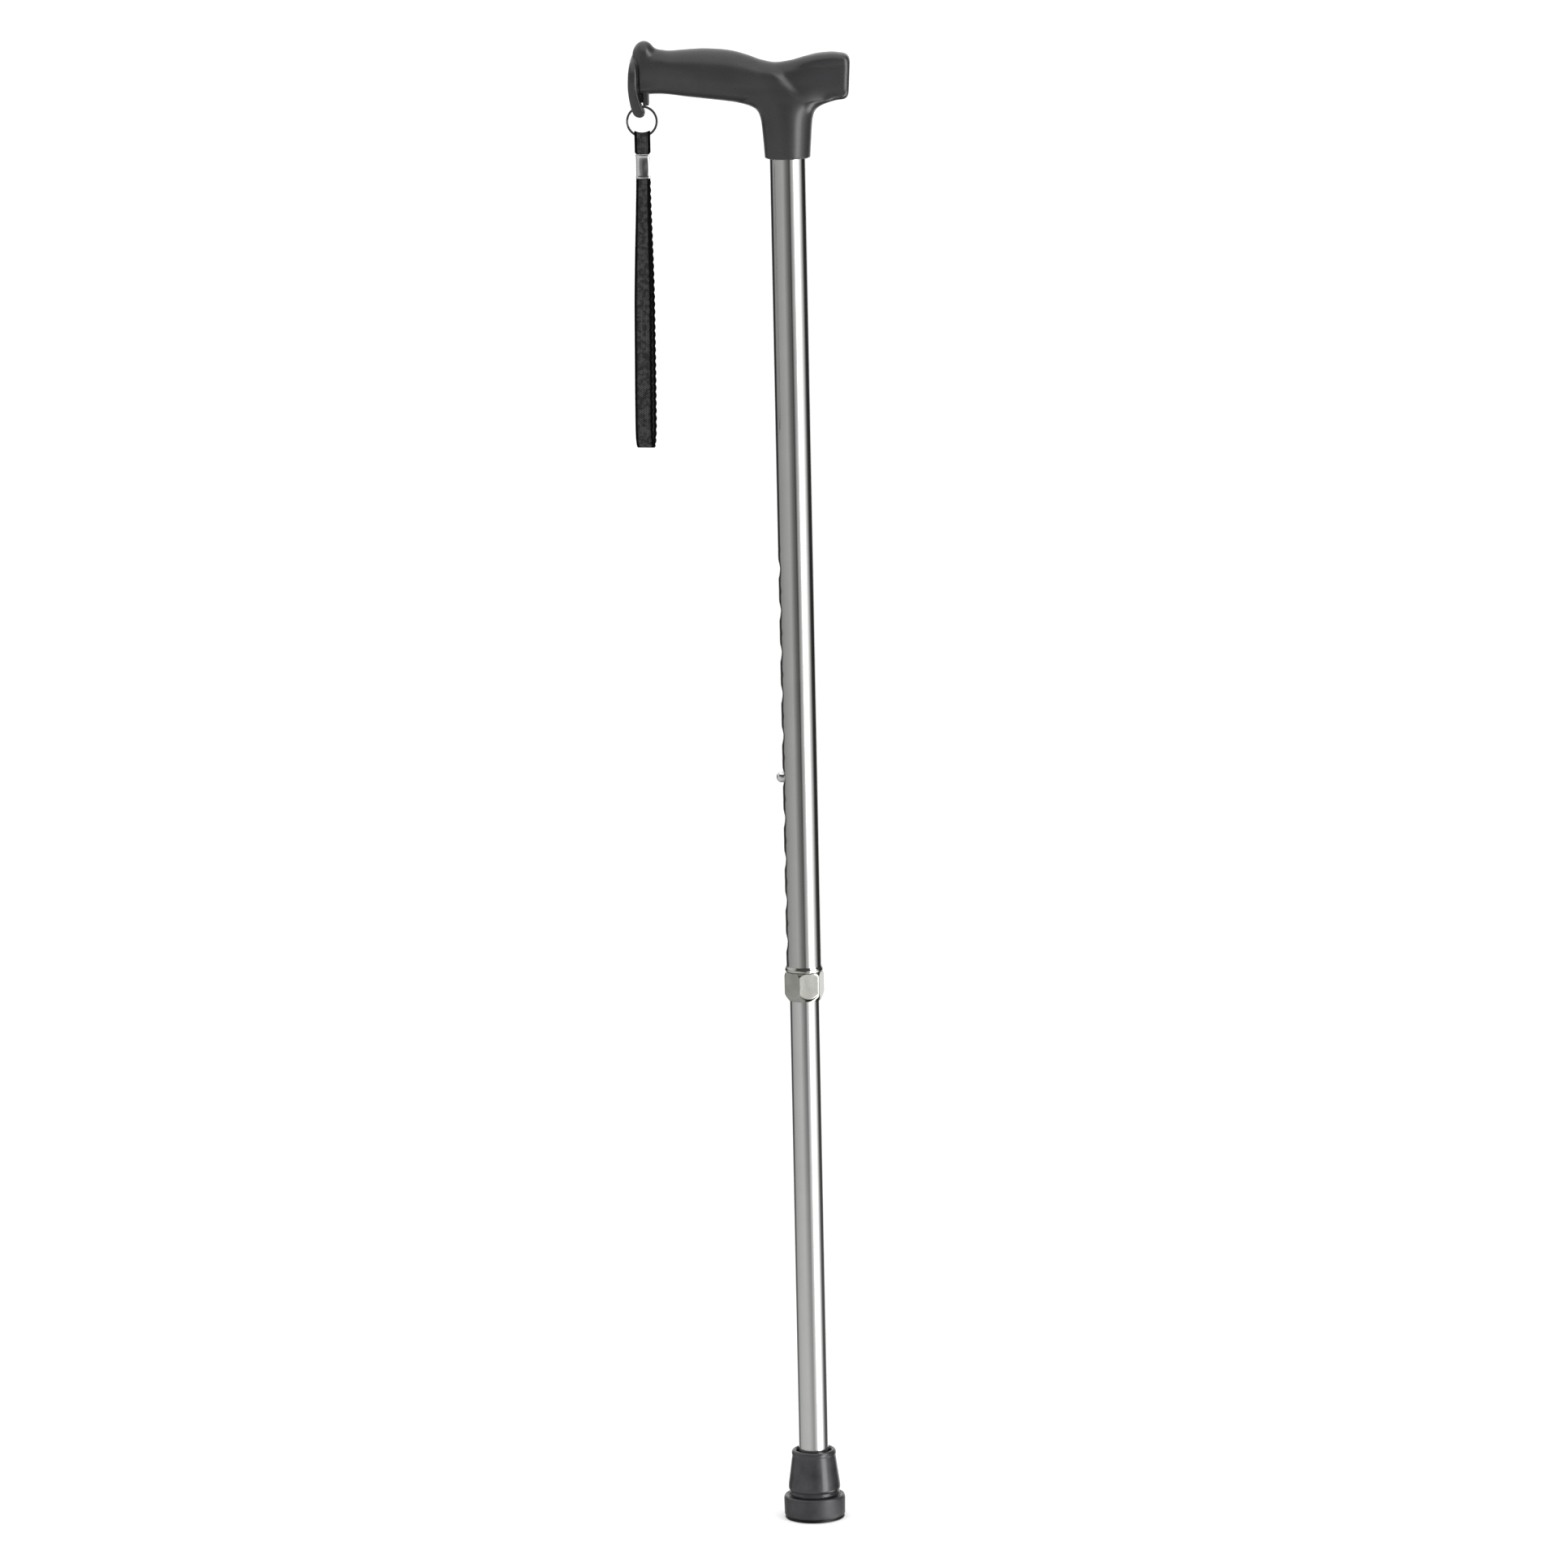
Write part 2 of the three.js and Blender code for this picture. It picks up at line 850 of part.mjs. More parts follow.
// Crimp: a flattened sleeve, closed round the webbing.
function makeCrimp() {
  const oval = (a, b, n) => {
    const pts = [];
    for (let i = 0; i < n; i++) {
      const t = (2 * Math.PI * i) / n;
      pts.push(
        new THREE.Vector2(
          a * power(Math.cos(t), 2 / 2.6),
          b * power(Math.sin(t), 2 / 2.6),
        ),
      );
    }
    return pts;
  };
  const shape = new THREE.Shape(oval(4.35, 2.7, 28));
  shape.holes.push(new THREE.Path(oval(3.65, 2.0, 28)));
  const g = new THREE.ExtrudeGeometry(shape, {
    depth: CRIMP_Z1 - CRIMP_Z0,
    steps: 1,
    bevelEnabled: false,
  });
  g.translate(0, 0, CRIMP_Z0);
  g.rotateZ(rad(-LOOP_TURN / 2));
  g.translate(RING_X, 0, 0);
  return solid(g);
}

// Half the gap between the middles of the loop's two runs, by distance below the crimp.
const loopHalf = curve([
  [0, 0.75],
  [10, 1.7],
  [20, 2.8],
  [35, 4.2],
  [60, 5.7],
  [85, 6.8],
  [110, 7.7],
  [130, 8.1],
  [146, 8.1],
]);
function makeLoop() {
  const bottom = CRIMP_Z0 - LOOP_Z0 - WEB_T / 2; // depth of the middle line's lowest point
  const bend = 146;
  const line = []; // [y, depth] down the front run
  for (const d of [0.4, 5, 10, 15, 20, 28, 36, 48, 60, 72, 85, 98, 110, 122, 134, 146])
    line.push([-loopHalf(d), d]);
  for (let i = 1; i <= 6; i++) {
    const t = (i / 6) * (Math.PI / 2);
    line.push([-8.1 * Math.cos(t), bend + (bottom - bend) * Math.sin(t)]);
  }
  const all = [...line, ...line.slice(0, -1).reverse().map(([y, d]) => [-y, d])];
  const offset = (s) =>
    all.map(([y, d], i) => {
      const a = all[Math.max(i - 1, 0)];
      const b = all[Math.min(i + 1, all.length - 1)];
      const l = Math.hypot(b[0] - a[0], b[1] - a[1]);
      return [y + ((b[1] - a[1]) / l) * s, d - ((b[0] - a[0]) / l) * s];
    });
  const flat = ([y, d]) => new THREE.Vector2(y, CRIMP_Z0 - d);
  const out = offset(-WEB_T / 2);
  const inn = offset(WEB_T / 2).filter(([y, d]) => d > 6.5 || Math.abs(y) < -1);
  const shape = new THREE.Shape(out.map(flat));
  shape.holes.push(new THREE.Path(inn.map(flat)));
  const g = new THREE.ExtrudeGeometry(shape, {
    depth: WEB_W,
    steps: 1,
    bevelEnabled: false,
  });
  g.translate(0, 0, -WEB_W / 2);
  const p = g.getAttribute("position");
  // the webbing is gathered a little where it enters the crimp
  for (let i = 0; i < p.count; i++) {
    const d = CRIMP_Z0 - p.getY(i);
    const gather = 0.79 + 0.21 * THREE.MathUtils.smoothstep(d, 0, 80);
    p.setXYZ(i, p.getZ(i) * gather, p.getX(i), p.getY(i));
  }
  g.rotateZ(rad(-LOOP_TURN));
  g.translate(0, 0, -CRIMP_Z0);
  g.rotateY(rad(LOOP_LEAN));
  g.translate(RING_X, 0, CRIMP_Z0);
  return solid(g);
}

// ---------------------------------------------------------------- assembly

const cane = new THREE.Group();
cane.name = "single_point_cane";

function place(group, name, made, material) {
  const mesh = new THREE.Mesh(geometryOf(made), material);
  mesh.name = name;
  group.add(mesh);
}

const upper = new THREE.Group(); // held by the hand
place(upper, "handle", makeHandle(), finish.handle());
place(upper, "handle_screw", makeScrew(), finish.steel());
place(upper, "upper_tube", makeUpperTube(), finish.aluminium());
place(upper, "end_ferrule", makeFerrule(), finish.aluminium());

const collar = new THREE.Group();
place(collar, "compression_ring", makeCompressionRing(), finish.nylon());
place(collar, "lock_nut", makeNut(), finish.aluminium());

const lower = new THREE.Group(); // slides in the upper tube
place(lower, "lower_tube", makeLowerTube(), finish.aluminium());
place(lower, "guide_bush", makeGuideBush(), finish.nylon());
place(lower, "rubber_tip", makeTip(), finish.rubber());
place(lower, "tip_washer", makeWasher(), finish.steel());
place(lower, "button_spring", makeSpring(), finish.steel());
place(lower, "snap_button", makeButton(), finish.chrome());

const strap = new THREE.Group(); // hangs from the lug
place(strap, "strap_ring", makeRing(), finish.chrome());
place(strap, "strap_tab", makeTab(), finish.webbing());
place(strap, "strap_crimp", makeCrimp(), finish.chrome());
place(strap, "wrist_strap", makeLoop(), finish.webbing());

cane.add(upper, collar, lower, strap);

export default cane;
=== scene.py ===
import math

import bpy
import numpy as np
from mathutils import Matrix, Vector


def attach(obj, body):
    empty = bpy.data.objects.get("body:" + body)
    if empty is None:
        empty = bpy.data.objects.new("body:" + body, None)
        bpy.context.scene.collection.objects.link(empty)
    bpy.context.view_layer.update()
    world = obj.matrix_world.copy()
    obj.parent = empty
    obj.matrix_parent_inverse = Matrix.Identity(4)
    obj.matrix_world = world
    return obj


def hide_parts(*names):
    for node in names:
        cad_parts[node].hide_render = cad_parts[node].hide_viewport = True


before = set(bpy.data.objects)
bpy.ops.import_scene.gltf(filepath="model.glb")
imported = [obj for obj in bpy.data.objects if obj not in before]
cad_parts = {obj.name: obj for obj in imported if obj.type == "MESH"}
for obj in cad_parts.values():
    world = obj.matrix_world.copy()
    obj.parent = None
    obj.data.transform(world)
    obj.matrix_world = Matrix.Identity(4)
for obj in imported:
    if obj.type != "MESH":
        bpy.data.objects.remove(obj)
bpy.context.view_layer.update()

MM = 0.001
scene = bpy.context.scene
scene.view_settings.view_transform = "Standard"
scene.view_settings.look = "None"
scene.view_settings.exposure = 0.0
scene.view_settings.gamma = 1.0

# ------------------------------------------------------------------ dimensions, as in the CAD source (mm)

UPPER_R, UPPER_BORE_R, UPPER_Z0, UPPER_Z1 = 10.8, 9.4, 342.6, 875.0
LOWER_R, LOWER_BORE_R, LOWER_Z0, LOWER_Z1 = 9.1, 7.9, 8.5, 492.0
HOLE_PITCH, HOLES_ABOVE, HOLES_BELOW, HOLE_R = 25.4, 5, 4, 3.9
BUTTON_Z, BUTTON_HOLE_R, BUTTON_R, BUTTON_BACK_X = 461.1, 3.65, 3.35, -6.2
NUT_CORNER_R, NUT_TURN, NUT_Z0, NUT_Z1 = 12.55, 15.5, 323.0, 341.4
FERRULE_RIM_R, FERRULE_RIM_Z0, FERRULE_RIM_Z1 = 11.7, 341.7, 345.0
THREAD_R, THREAD_Z0 = 10.1, 331.6
TIP_H, TIP_FOOT_R, TIP_NECK_R = 42.6, 18.9, 13.4
SOCKET_Z0, SOCKET_BORE_R, SOCKET_BORE_Z1 = 834.2, 11.1, 876.5
RING_X, RING_Z, RING_R = -86.3, 858.7, 8.8
RING_WIRE_RADIAL, RING_WIRE_AXIAL = 0.6, 1.0
WEB_T, WEB_W = 1.3, 10.6
CRIMP_Z0, CRIMP_Z1 = 824.7, 839.3
LOOP_Z0, LOOP_TURN, LOOP_LEAN = 663.0, 7.0, 0.7
SCREW_Z = 852.0

# ------------------------------------------------------------------ camera

CAM_TARGET = Vector((-9.85, 0.0, 456.58)) * MM
CAM_DIST = 4673.9 * MM
CAM_ELEV = math.radians(9.802)
CAM_ROLL = math.radians(-1.181)
CAM_F = 9528.97 / 1932.0  # focal length over the image's width


def make_camera():
    cam = bpy.data.cameras.new("camera")
    cam.sensor_width = 36.0
    cam.sensor_fit = "HORIZONTAL"
    cam.lens = CAM_F * 36.0
    cam.clip_start, cam.clip_end = 0.1, 200.0
    obj = bpy.data.objects.new("camera", cam)
    scene.collection.objects.link(obj)
    forward = Vector((0, math.cos(CAM_ELEV), -math.sin(CAM_ELEV)))
    right0 = Vector((1, 0, 0))
    up0 = Vector((0, math.sin(CAM_ELEV), math.cos(CAM_ELEV)))
    right = math.cos(CAM_ROLL) * right0 + math.sin(CAM_ROLL) * up0
    up = -math.sin(CAM_ROLL) * right0 + math.cos(CAM_ROLL) * up0
    place = CAM_TARGET - forward * CAM_DIST
    obj.matrix_world = Matrix(
        (
            (right.x, up.x, -forward.x, place.x),
            (right.y, up.y, -forward.y, place.y),
            (right.z, up.z, -forward.z, place.z),
            (0, 0, 0, 1),
        )
    )
    scene.camera = obj


make_camera()

# ------------------------------------------------------------------ helpers


def curve(points):
    """Smooth curve through (x, value) points, the same one as the CAD source uses; works on arrays."""
    px = np.array([p[0] for p in points], float)
    pv = np.array([p[1] for p in points], float)
    d = np.diff(pv) / np.diff(px)
    m = np.empty(len(px))
    m[0], m[-1] = d[0], d[-1]
    for i in range(1, len(px) - 1):
        m[i] = 0.0 if d[i - 1] * d[i] <= 0 else 2 * d[i - 1] * d[i] / (d[i - 1] + d[i])

    def f(x):
        x = np.asarray(x, float)
        xc = np.clip(x, px[0], px[-1])
        i = np.clip(np.searchsorted(px, xc, side="right") - 1, 0, len(px) - 2)
        h = px[i + 1] - px[i]
        t = (xc - px[i]) / h
        t2, t3 = t * t, t * t * t
        return (
            (2 * t3 - 3 * t2 + 1) * pv[i]
            + (t3 - 2 * t2 + t) * h * m[i]
            + (-2 * t3 + 3 * t2) * pv[i + 1]
            + (t3 - t2) * h * m[i + 1]
        )

    return f


def smoothstep(x, a, b):
    t = np.clip((np.asarray(x, float) - a) / (b - a), 0, 1)
    return t * t * (3 - 2 * t)


def smin(a, b, k):
    """Smooth union of two distances."""
    h = np.maximum(k - np.abs(a - b), 0) / k
    return np.minimum(a, b) - h * h * k * 0.25


def smax(a, b, k):
    return -smin(-a, -b, k)


def mesh_object(name, verts, faces, angle=40.0, smooth=True):
    """Mesh from points in mm."""
    me = bpy.data.meshes.new(name)
    v = np.asarray(verts, float) * MM
    me.from_pydata([tuple(p) for p in v], [], [tuple(int(i) for i in f) for f in faces])
    me.validate()
    me.update()
    obj = bpy.data.objects.new(name, me)
    scene.collection.objects.link(obj)
    if smooth:
        me.shade_smooth()
        if angle is not None:
            me.set_sharp_from_angle(angle=math.radians(angle))
    return obj


def quads_object(name, verts, quads, angle=None):
    """The same for many quads, made with arrays."""
    me = bpy.data.meshes.new(name)
    v = (np.asarray(verts, np.float32) * np.float32(MM)).ravel()
    q = np.asarray(quads, np.int32)
    me.vertices.add(len(v) // 3)
    me.vertices.foreach_set("co", v)
    me.loops.add(q.size)
    me.loops.foreach_set("vertex_index", q.ravel())
    me.polygons.add(len(q))
    me.polygons.foreach_set("loop_start", np.arange(0, q.size, q.shape[1], dtype=np.int32))
    me.update(calc_edges=True)
    me.validate()
    obj = bpy.data.objects.new(name, me)
    scene.collection.objects.link(obj)
    me.shade_smooth()
    if angle is not None:
        me.set_sharp_from_angle(angle=math.radians(angle))
    return obj


def revolve(profile, segments, closed, start=0.0):
    """Verts and faces of a [radius, z] profile turned round Z. An open profile starts and ends on the axis."""
    verts, faces, rings = [], [], []
    for r, z in profile:
        if r < 1e-9:
            rings.append([len(verts)])
            verts.append((0, 0, z))
        else:
            ids = []
            for j in range(segments):
                a = start + 2 * math.pi * j / segments
                ids.append(len(verts))
                verts.append((r * math.cos(a), r * math.sin(a), z))
            rings.append(ids)
    pairs = list(zip(rings[:-1], rings[1:]))
    if closed:
        pairs.append((rings[-1], rings[0]))
    for a, b in pairs:
        for j in range(segments):
            k = (j + 1) % segments
            if len(a) == 1 and len(b) == 1:
                continue
            if len(a) == 1:
                faces.append((a[0], b[k], b[j]))
            elif len(b) == 1:
                faces.append((a[j], a[k], b[0]))
            else:
                faces.append((a[j], a[k], b[k], b[j]))
    return verts, faces


def face_out(obj):
    """Turns all faces of a closed mesh outwards."""
    import bmesh

    bm = bmesh.new()
    bm.from_mesh(obj.data)
    bmesh.ops.recalc_face_normals(bm, faces=bm.faces)
    if bm.calc_volume(signed=True) < 0:
        bmesh.ops.reverse_faces(bm, faces=bm.faces)
    bm.to_mesh(obj.data)
    bm.free()
    obj.data.update()
    return obj


def rounded(profile, radii, steps=4):
    """Closed polygon with its corners rounded; radii is one number or one per corner."""
    n = len(profile)
    out = []
    for i in range(n):
        p = np.array(profile[i], float)
        r = radii[i] if hasattr(radii, "__len__") else radii
        a = np.array(profile[i - 1], float) - p
        b = np.array(profile[(i + 1) % n], float) - p
        la, lb = np.linalg.norm(a), np.linalg.norm(b)
        if r <= 0 or la < 1e-9 or lb < 1e-9:
            out.append(tuple(p))
            continue
        a, b = a / la, b / lb
        cosang = float(np.clip(a @ b, -1, 1))
        half = math.acos(cosang) / 2
        if half > math.radians(88) or half < 1e-3:
            out.append(tuple(p))
            continue
        t = min(r / math.tan(half), 0.48 * la, 0.48 * lb)
        rr = t * math.tan(half)
        c = p + (a + b) / np.linalg.norm(a + b) * (rr / math.sin(half))
        s, e = p + a * t, p + b * t
        vs, ve = s - c, e - c
        for k in range(steps + 1):
            w = k / steps
            v = vs * (1 - w) + ve * w
            v = v / max(np.linalg.norm(v), 1e-9) * rr
            out.append(tuple(c + v))
    return out


def surface_nets(F, origin, h):
    """Quads of the zero surface of a grid of values, negative inside."""
    inside = F < 0
    nx, ny, nz = F.shape
    cx, cy, cz = nx - 1, ny - 1, nz - 1
    total = np.zeros((cx, cy, cz, 3))
    count = np.zeros((cx, cy, cz))
    corners = [(i, j, k) for i in (0, 1) for j in (0, 1) for k in (0, 1)]
    for a in corners:
        for axis in range(3):
            if a[axis] == 1:
                continue
            b = list(a)
            b[axis] = 1
            fa = F[a[0] : a[0] + cx, a[1] : a[1] + cy, a[2] : a[2] + cz]
            fb = F[b[0] : b[0] + cx, b[1] : b[1] + cy, b[2] : b[2] + cz]
            cross = (fa < 0) != (fb < 0)
            with np.errstate(divide="ignore", invalid="ignore"):
                t = np.where(cross, fa / (fa - fb), 0.0)
            for c in range(3):
                total[..., c] += np.where(cross, a[c] + (t if c == axis else 0.0), 0.0)
            count += cross
    used = count > 0
    index = np.full((cx, cy, cz), -1, np.int64)
    index[used] = np.arange(int(used.sum()))
    cell = np.argwhere(used)
    verts = (cell + total[used] / count[used][:, None]) * h + np.array(origin)
    quads = []
    for axis in range(3):
        u, v = (axis + 1) % 3, (axis + 2) % 3
        sl_a = [slice(None)] * 3
        sl_b = [slice(None)] * 3
        sl_a[axis] = slice(0, -1)
        sl_b[axis] = slice(1, None)
        cross = inside[tuple(sl_a)] != inside[tuple(sl_b)]
        lead = inside[tuple(sl_a)]
        at = np.argwhere(cross)
        ok = (at[:, u] > 0) & (at[:, v] > 0)
        lim = [cx, cy, cz]
        ok &= (at[:, u] < lim[u]) & (at[:, v] < lim[v])
        at = at[ok]
        first = lead[tuple(at.T)]

        def cell_at(du, dv):
            c = at.copy()
            c[:, u] -= du
            c[:, v] -= dv
            return index[tuple(c.T)]

        q = np.stack([cell_at(1, 1), cell_at(0, 1), cell_at(0, 0), cell_at(1, 0)], 1)
        q[~first] = q[~first][:, ::-1]
        quads.append(q)
    quads = np.concatenate(quads)
    return verts, quads


def solid_of(f, lo, hi, h, steps=3):
    """Mesh of a distance-like function, its points pulled onto the true surface."""
    lo, hi = np.array(lo, float), np.array(hi, float)
    n = np.ceil((hi - lo) / h).astype(int) + 1
    axes = [lo[i] + h * np.arange(n[i]) for i in range(3)]
    F = np.empty(tuple(n))
    for i, x in enumerate(axes[0]):
        Y, Z = np.meshgrid(axes[1], axes[2], indexing="ij")
        P = np.stack([np.full(Y.size, x), Y.ravel(), Z.ravel()], 1)
        F[i] = f(P).reshape(Y.shape)
    verts, quads = surface_nets(F, lo, h)
    start = verts.copy()
    e = 0.02
    for _ in range(steps):
        d = f(verts)
        g = np.stack(
            [(f(verts + e * v) - f(verts - e * v)) / (2 * e) for v in np.eye(3)], 1
        )
        gg = np.maximum((g * g).sum(1), 0.05)
        move = -(d / gg)[:, None] * g
        size = np.linalg.norm(move, axis=1)
        cap = 0.35 * h
        move *= np.minimum(1, cap / np.maximum(size, 1e-9))[:, None]
        verts = verts + move
        away = verts - start
        size = np.linalg.norm(away, axis=1)
        verts = start + away * np.minimum(1, 0.75 * h / np.maximum(size, 1e-9))[:, None]
    return verts, quads


# ------------------------------------------------------------------ materials


class Nodes:
    """Small helper round a material's node tree."""

    def __init__(self, name):
        self.mat = bpy.data.materials.new(name)
        self.mat.use_nodes = True
        self.tree = self.mat.node_tree
        self.tree.nodes.clear()
        self.out = self.tree.nodes.new("ShaderNodeOutputMaterial")
        self.bsdf = self.tree.nodes.new("ShaderNodeBsdfPrincipled")
        self.link(self.bsdf.outputs["BSDF"], self.out.inputs["Surface"])

    def new(self, kind, **values):
        node = self.tree.nodes.new("ShaderNode" + kind)
        for k, v in values.items():
            setattr(node, k, v)
        return node

    def link(self, a, b):
        self.tree.links.new(a, b)

    def set(self, **values):
        for k, v in values.items():
            self.bsdf.inputs[k.replace("_", " ")].default_value = v
        return self

    def coords(self, scale=(1, 1, 1)):
        tex = self.new("TexCoord")
        mapping = self.new("Mapping")
        mapping.inputs["Scale"].default_value = scale
        self.link(tex.outputs["Object"], mapping.inputs["Vector"])
        return mapping.outputs["Vector"]

    def noise(self, vector, scale, detail=3.0, rough=0.55):
        n = self.new("TexNoise")
        n.inputs["Scale"].default_value = scale
        n.inputs["Detail"].default_value = detail
        n.inputs["Roughness"].default_value = rough
        self.link(vector, n.inputs["Vector"])
        return n.outputs["Fac"]

    def ramp(self, fac, stops, interpolation="LINEAR"):
        r = self.new("ValToRGB")
        r.color_ramp.interpolation = interpolation
        while len(r.color_ramp.elements) < len(stops):
            r.color_ramp.elements.new(0.5)
        for e, (p, c) in zip(r.color_ramp.elements, stops):
            e.position = p
            e.color = (*c, 1.0) if len(c) == 3 else c
        self.link(fac, r.inputs["Fac"])
        return r.outputs["Color"]

    def remap(self, fac, a, b, c, d):
        m = self.new("MapRange")
        m.inputs["From Min"].default_value = a
        m.inputs["From Max"].default_value = b
        m.inputs["To Min"].default_value = c
        m.inputs["To Max"].default_value = d
        self.link(fac, m.inputs["Value"])
        return m.outputs["Result"]

    def math(self, op, a, b=None):
        m = self.new("Math", operation=op)
        for i, v in enumerate((a, b)):
            if v is None:
                continue
            if isinstance(v, (int, float)):
                m.inputs[i].default_value = v
            else:
                self.link(v, m.inputs[i])
        return m.outputs[0]

    def mix(self, fac, a, b):
        m = self.new("Mix", data_type="RGBA")
        for sock, v in ((m.inputs[0], fac), (m.inputs[6], a), (m.inputs[7], b)):
            if isinstance(v, (int, float)):
                sock.default_value = v
            elif isinstance(v, tuple):
                sock.default_value = (*v, 1.0) if len(v) == 3 else v
            else:
                self.link(v, sock)
        return m.outputs[2]

    def bump(self, height, strength, distance, normal=None):
        b = self.new("Bump")
        b.inputs["Strength"].default_value = strength
        b.inputs["Distance"].default_value = distance
        self.link(height, b.inputs["Height"])
        if normal is not None:
            self.link(normal, b.inputs["Normal"])
        return b.outputs["Normal"]

    def colour(self, socket):
        self.link(socket, self.bsdf.inputs["Base Color"])

    def rough(self, socket):
        self.link(socket, self.bsdf.inputs["Roughness"])

    def normal(self, socket):
        self.link(socket, self.bsdf.inputs["Normal"])


def mat_grip():
    """Moulded charcoal plastic: satin skin with a very fine leather-like texture."""
    n = Nodes("grip_plastic")
    v = n.coords()
    cloud = n.noise(v, 38.0, 4.0)
    n.colour(n.ramp(cloud, [(0.3, (0.025, 0.025, 0.0265)), (0.7, (0.031, 0.031, 0.0325))]))
    fine = n.noise(v, 5200.0, 2.0)
    mid = n.noise(v, 900.0, 3.0)
    n.rough(n.remap(mid, 0.3, 0.7, 0.27, 0.34))
    a = n.bump(fine, 0.05, 0.00006)
    n.normal(n.bump(mid, 0.05, 0.0002, a))
    n.set(IOR=1.48)
    return n.mat


def mat_anodised(name, base, rough=(0.13, 0.2)):
    """Satin anodised drawn aluminium, with fine lengthwise drawing lines."""
    n = Nodes(name)
    v = n.coords((1, 1, 0.02))
    lines = n.noise(v, 2600.0, 3.0, 0.6)
    cloud = n.noise(n.coords(), 60.0, 3.0)
    n.colour(n.mix(n.remap(cloud, 0.3, 0.7, 0.0, 1.0), tuple(c * 0.96 for c in base), base))
    n.rough(n.remap(lines, 0.3, 0.7, rough[0], rough[1]))
    n.normal(n.bump(lines, 0.06, 0.00004))
    n.set(Metallic=1.0)
    return n.mat


def mat_nut():
    """Tumbled aluminium, satin and slightly warm on the flats, brighter on the turned cone below them."""
    n = Nodes("collar_aluminium")
    v = n.coords()
    grain = n.noise(v, 2400.0, 3.0, 0.6)
    cloud = n.noise(v, 160.0, 4.0)
    n.colour(n.ramp(cloud, [(0.3, (0.48, 0.48, 0.44)), (0.7, (0.57, 0.57, 0.53))]))
    sep = n.new("SeparateXYZ")
    n.link(v, sep.inputs[0])
    turned = n.remap(sep.outputs[2], 0.3262, 0.3276, 0.0, 1.0)
    n.rough(n.math("ADD", n.math("MULTIPLY", turned, 0.05), n.remap(cloud, 0.3, 0.7, 0.10, 0.15)))
    n.normal(n.bump(grain, 0.08, 0.00004))
    n.set(Metallic=1.0)
    return n.mat


def mat_rim():
    """Turned and polished aluminium."""
    n = Nodes("rim_aluminium")
    v = n.coords((0.02, 0.02, 1))
    lines = n.noise(v, 5200.0, 3.0, 0.6)
    cloud = n.noise(n.coords(), 220.0, 3.0)
    n.colour(n.ramp(cloud, [(0.3, (0.60, 0.60, 0.57)), (0.7, (0.68, 0.68, 0.65))]))
    n.rough(n.remap(lines, 0.3, 0.7, 0.09, 0.15))
    n.normal(n.bump(lines, 0.05, 0.00003))
    n.set(Metallic=1.0)
    return n.mat


def mat_chrome(name="chrome_plate", dark=1.0):
    n = Nodes(name)
    v = n.coords()
    smear = n.noise(v, 220.0, 4.0)
    n.rough(n.remap(smear, 0.3, 0.75, 0.045, 0.12))
    n.normal(n.bump(n.noise(v, 420.0, 2.0), 0.04, 0.00004))
    n.colour(n.ramp(smear, [(0.3, (0.84 * dark, 0.84 * dark, 0.84 * dark)), (0.7, (0.90 * dark, 0.90 * dark, 0.89 * dark))]))
    n.set(Metallic=1.0)
    return n.mat


def mat_steel():
    n = Nodes("screw_steel")
    v = n.coords()
    cloud = n.noise(v, 300.0, 4.0)
    n.colour(n.ramp(cloud, [(0.3, (0.42, 0.42, 0.42)), (0.7, (0.56, 0.56, 0.55))]))
    n.rough(n.remap(cloud, 0.3, 0.7, 0.24, 0.42))
    n.normal(n.bump(n.noise(v, 1800.0, 2.0), 0.08, 0.00005))
    n.set(Metallic=1.0)
    return n.mat


def mat_rubber():
    """Moulded rubber, semi-matt, with a dusty bloom."""
    n = Nodes("tip_rubber")
    v = n.coords()
    cloud = n.noise(v, 90.0, 5.0)
    tone = n.ramp(cloud, [(0.3, (0.024, 0.024, 0.0255)), (0.5, (0.034, 0.034, 0.037)), (0.7, (0.044, 0.044, 0.049))])
    sep = n.new("SeparateXYZ")
    n.link(v, sep.inputs[0])
    # painted shade: the colour goes near-black over the bottom 1.6 to 3 mm of the tip, standing in for the shade under
    # the sole's edge
    painted_sole_shade = n.remap(sep.outputs[2], 0.0016, 0.0030, 1.0, 0.0)
    n.colour(n.mix(painted_sole_shade, tone, (0.004, 0.004, 0.004)))
    foot = n.remap(sep.outputs[2], 0.0128, 0.0138, 0.24, 0.0)
    n.rough(n.math("ADD", foot, n.remap(cloud, 0.3, 0.7, 0.19, 0.26)))
    fine = n.noise(v, 3600.0, 2.0)
    n.normal(n.bump(fine, 0.12, 0.00006, n.bump(n.noise(v, 500.0, 3.0), 0.06, 0.0002)))
    n.set(IOR=1.5)
    return n.mat


def mat_nylon():
    n = Nodes("nylon")
    v = n.coords()
    cloud = n.noise(v, 240.0, 3.0)
    n.colour(n.ramp(cloud, [(0.3, (0.66, 0.65, 0.6)), (0.7, (0.76, 0.75, 0.7))]))
    n.rough(n.remap(cloud, 0.3, 0.7, 0.38, 0.5))
    n.normal(n.bump(n.noise(v, 2000.0, 2.0), 0.06, 0.00005))
    n.set(IOR=1.53)
    return n.mat


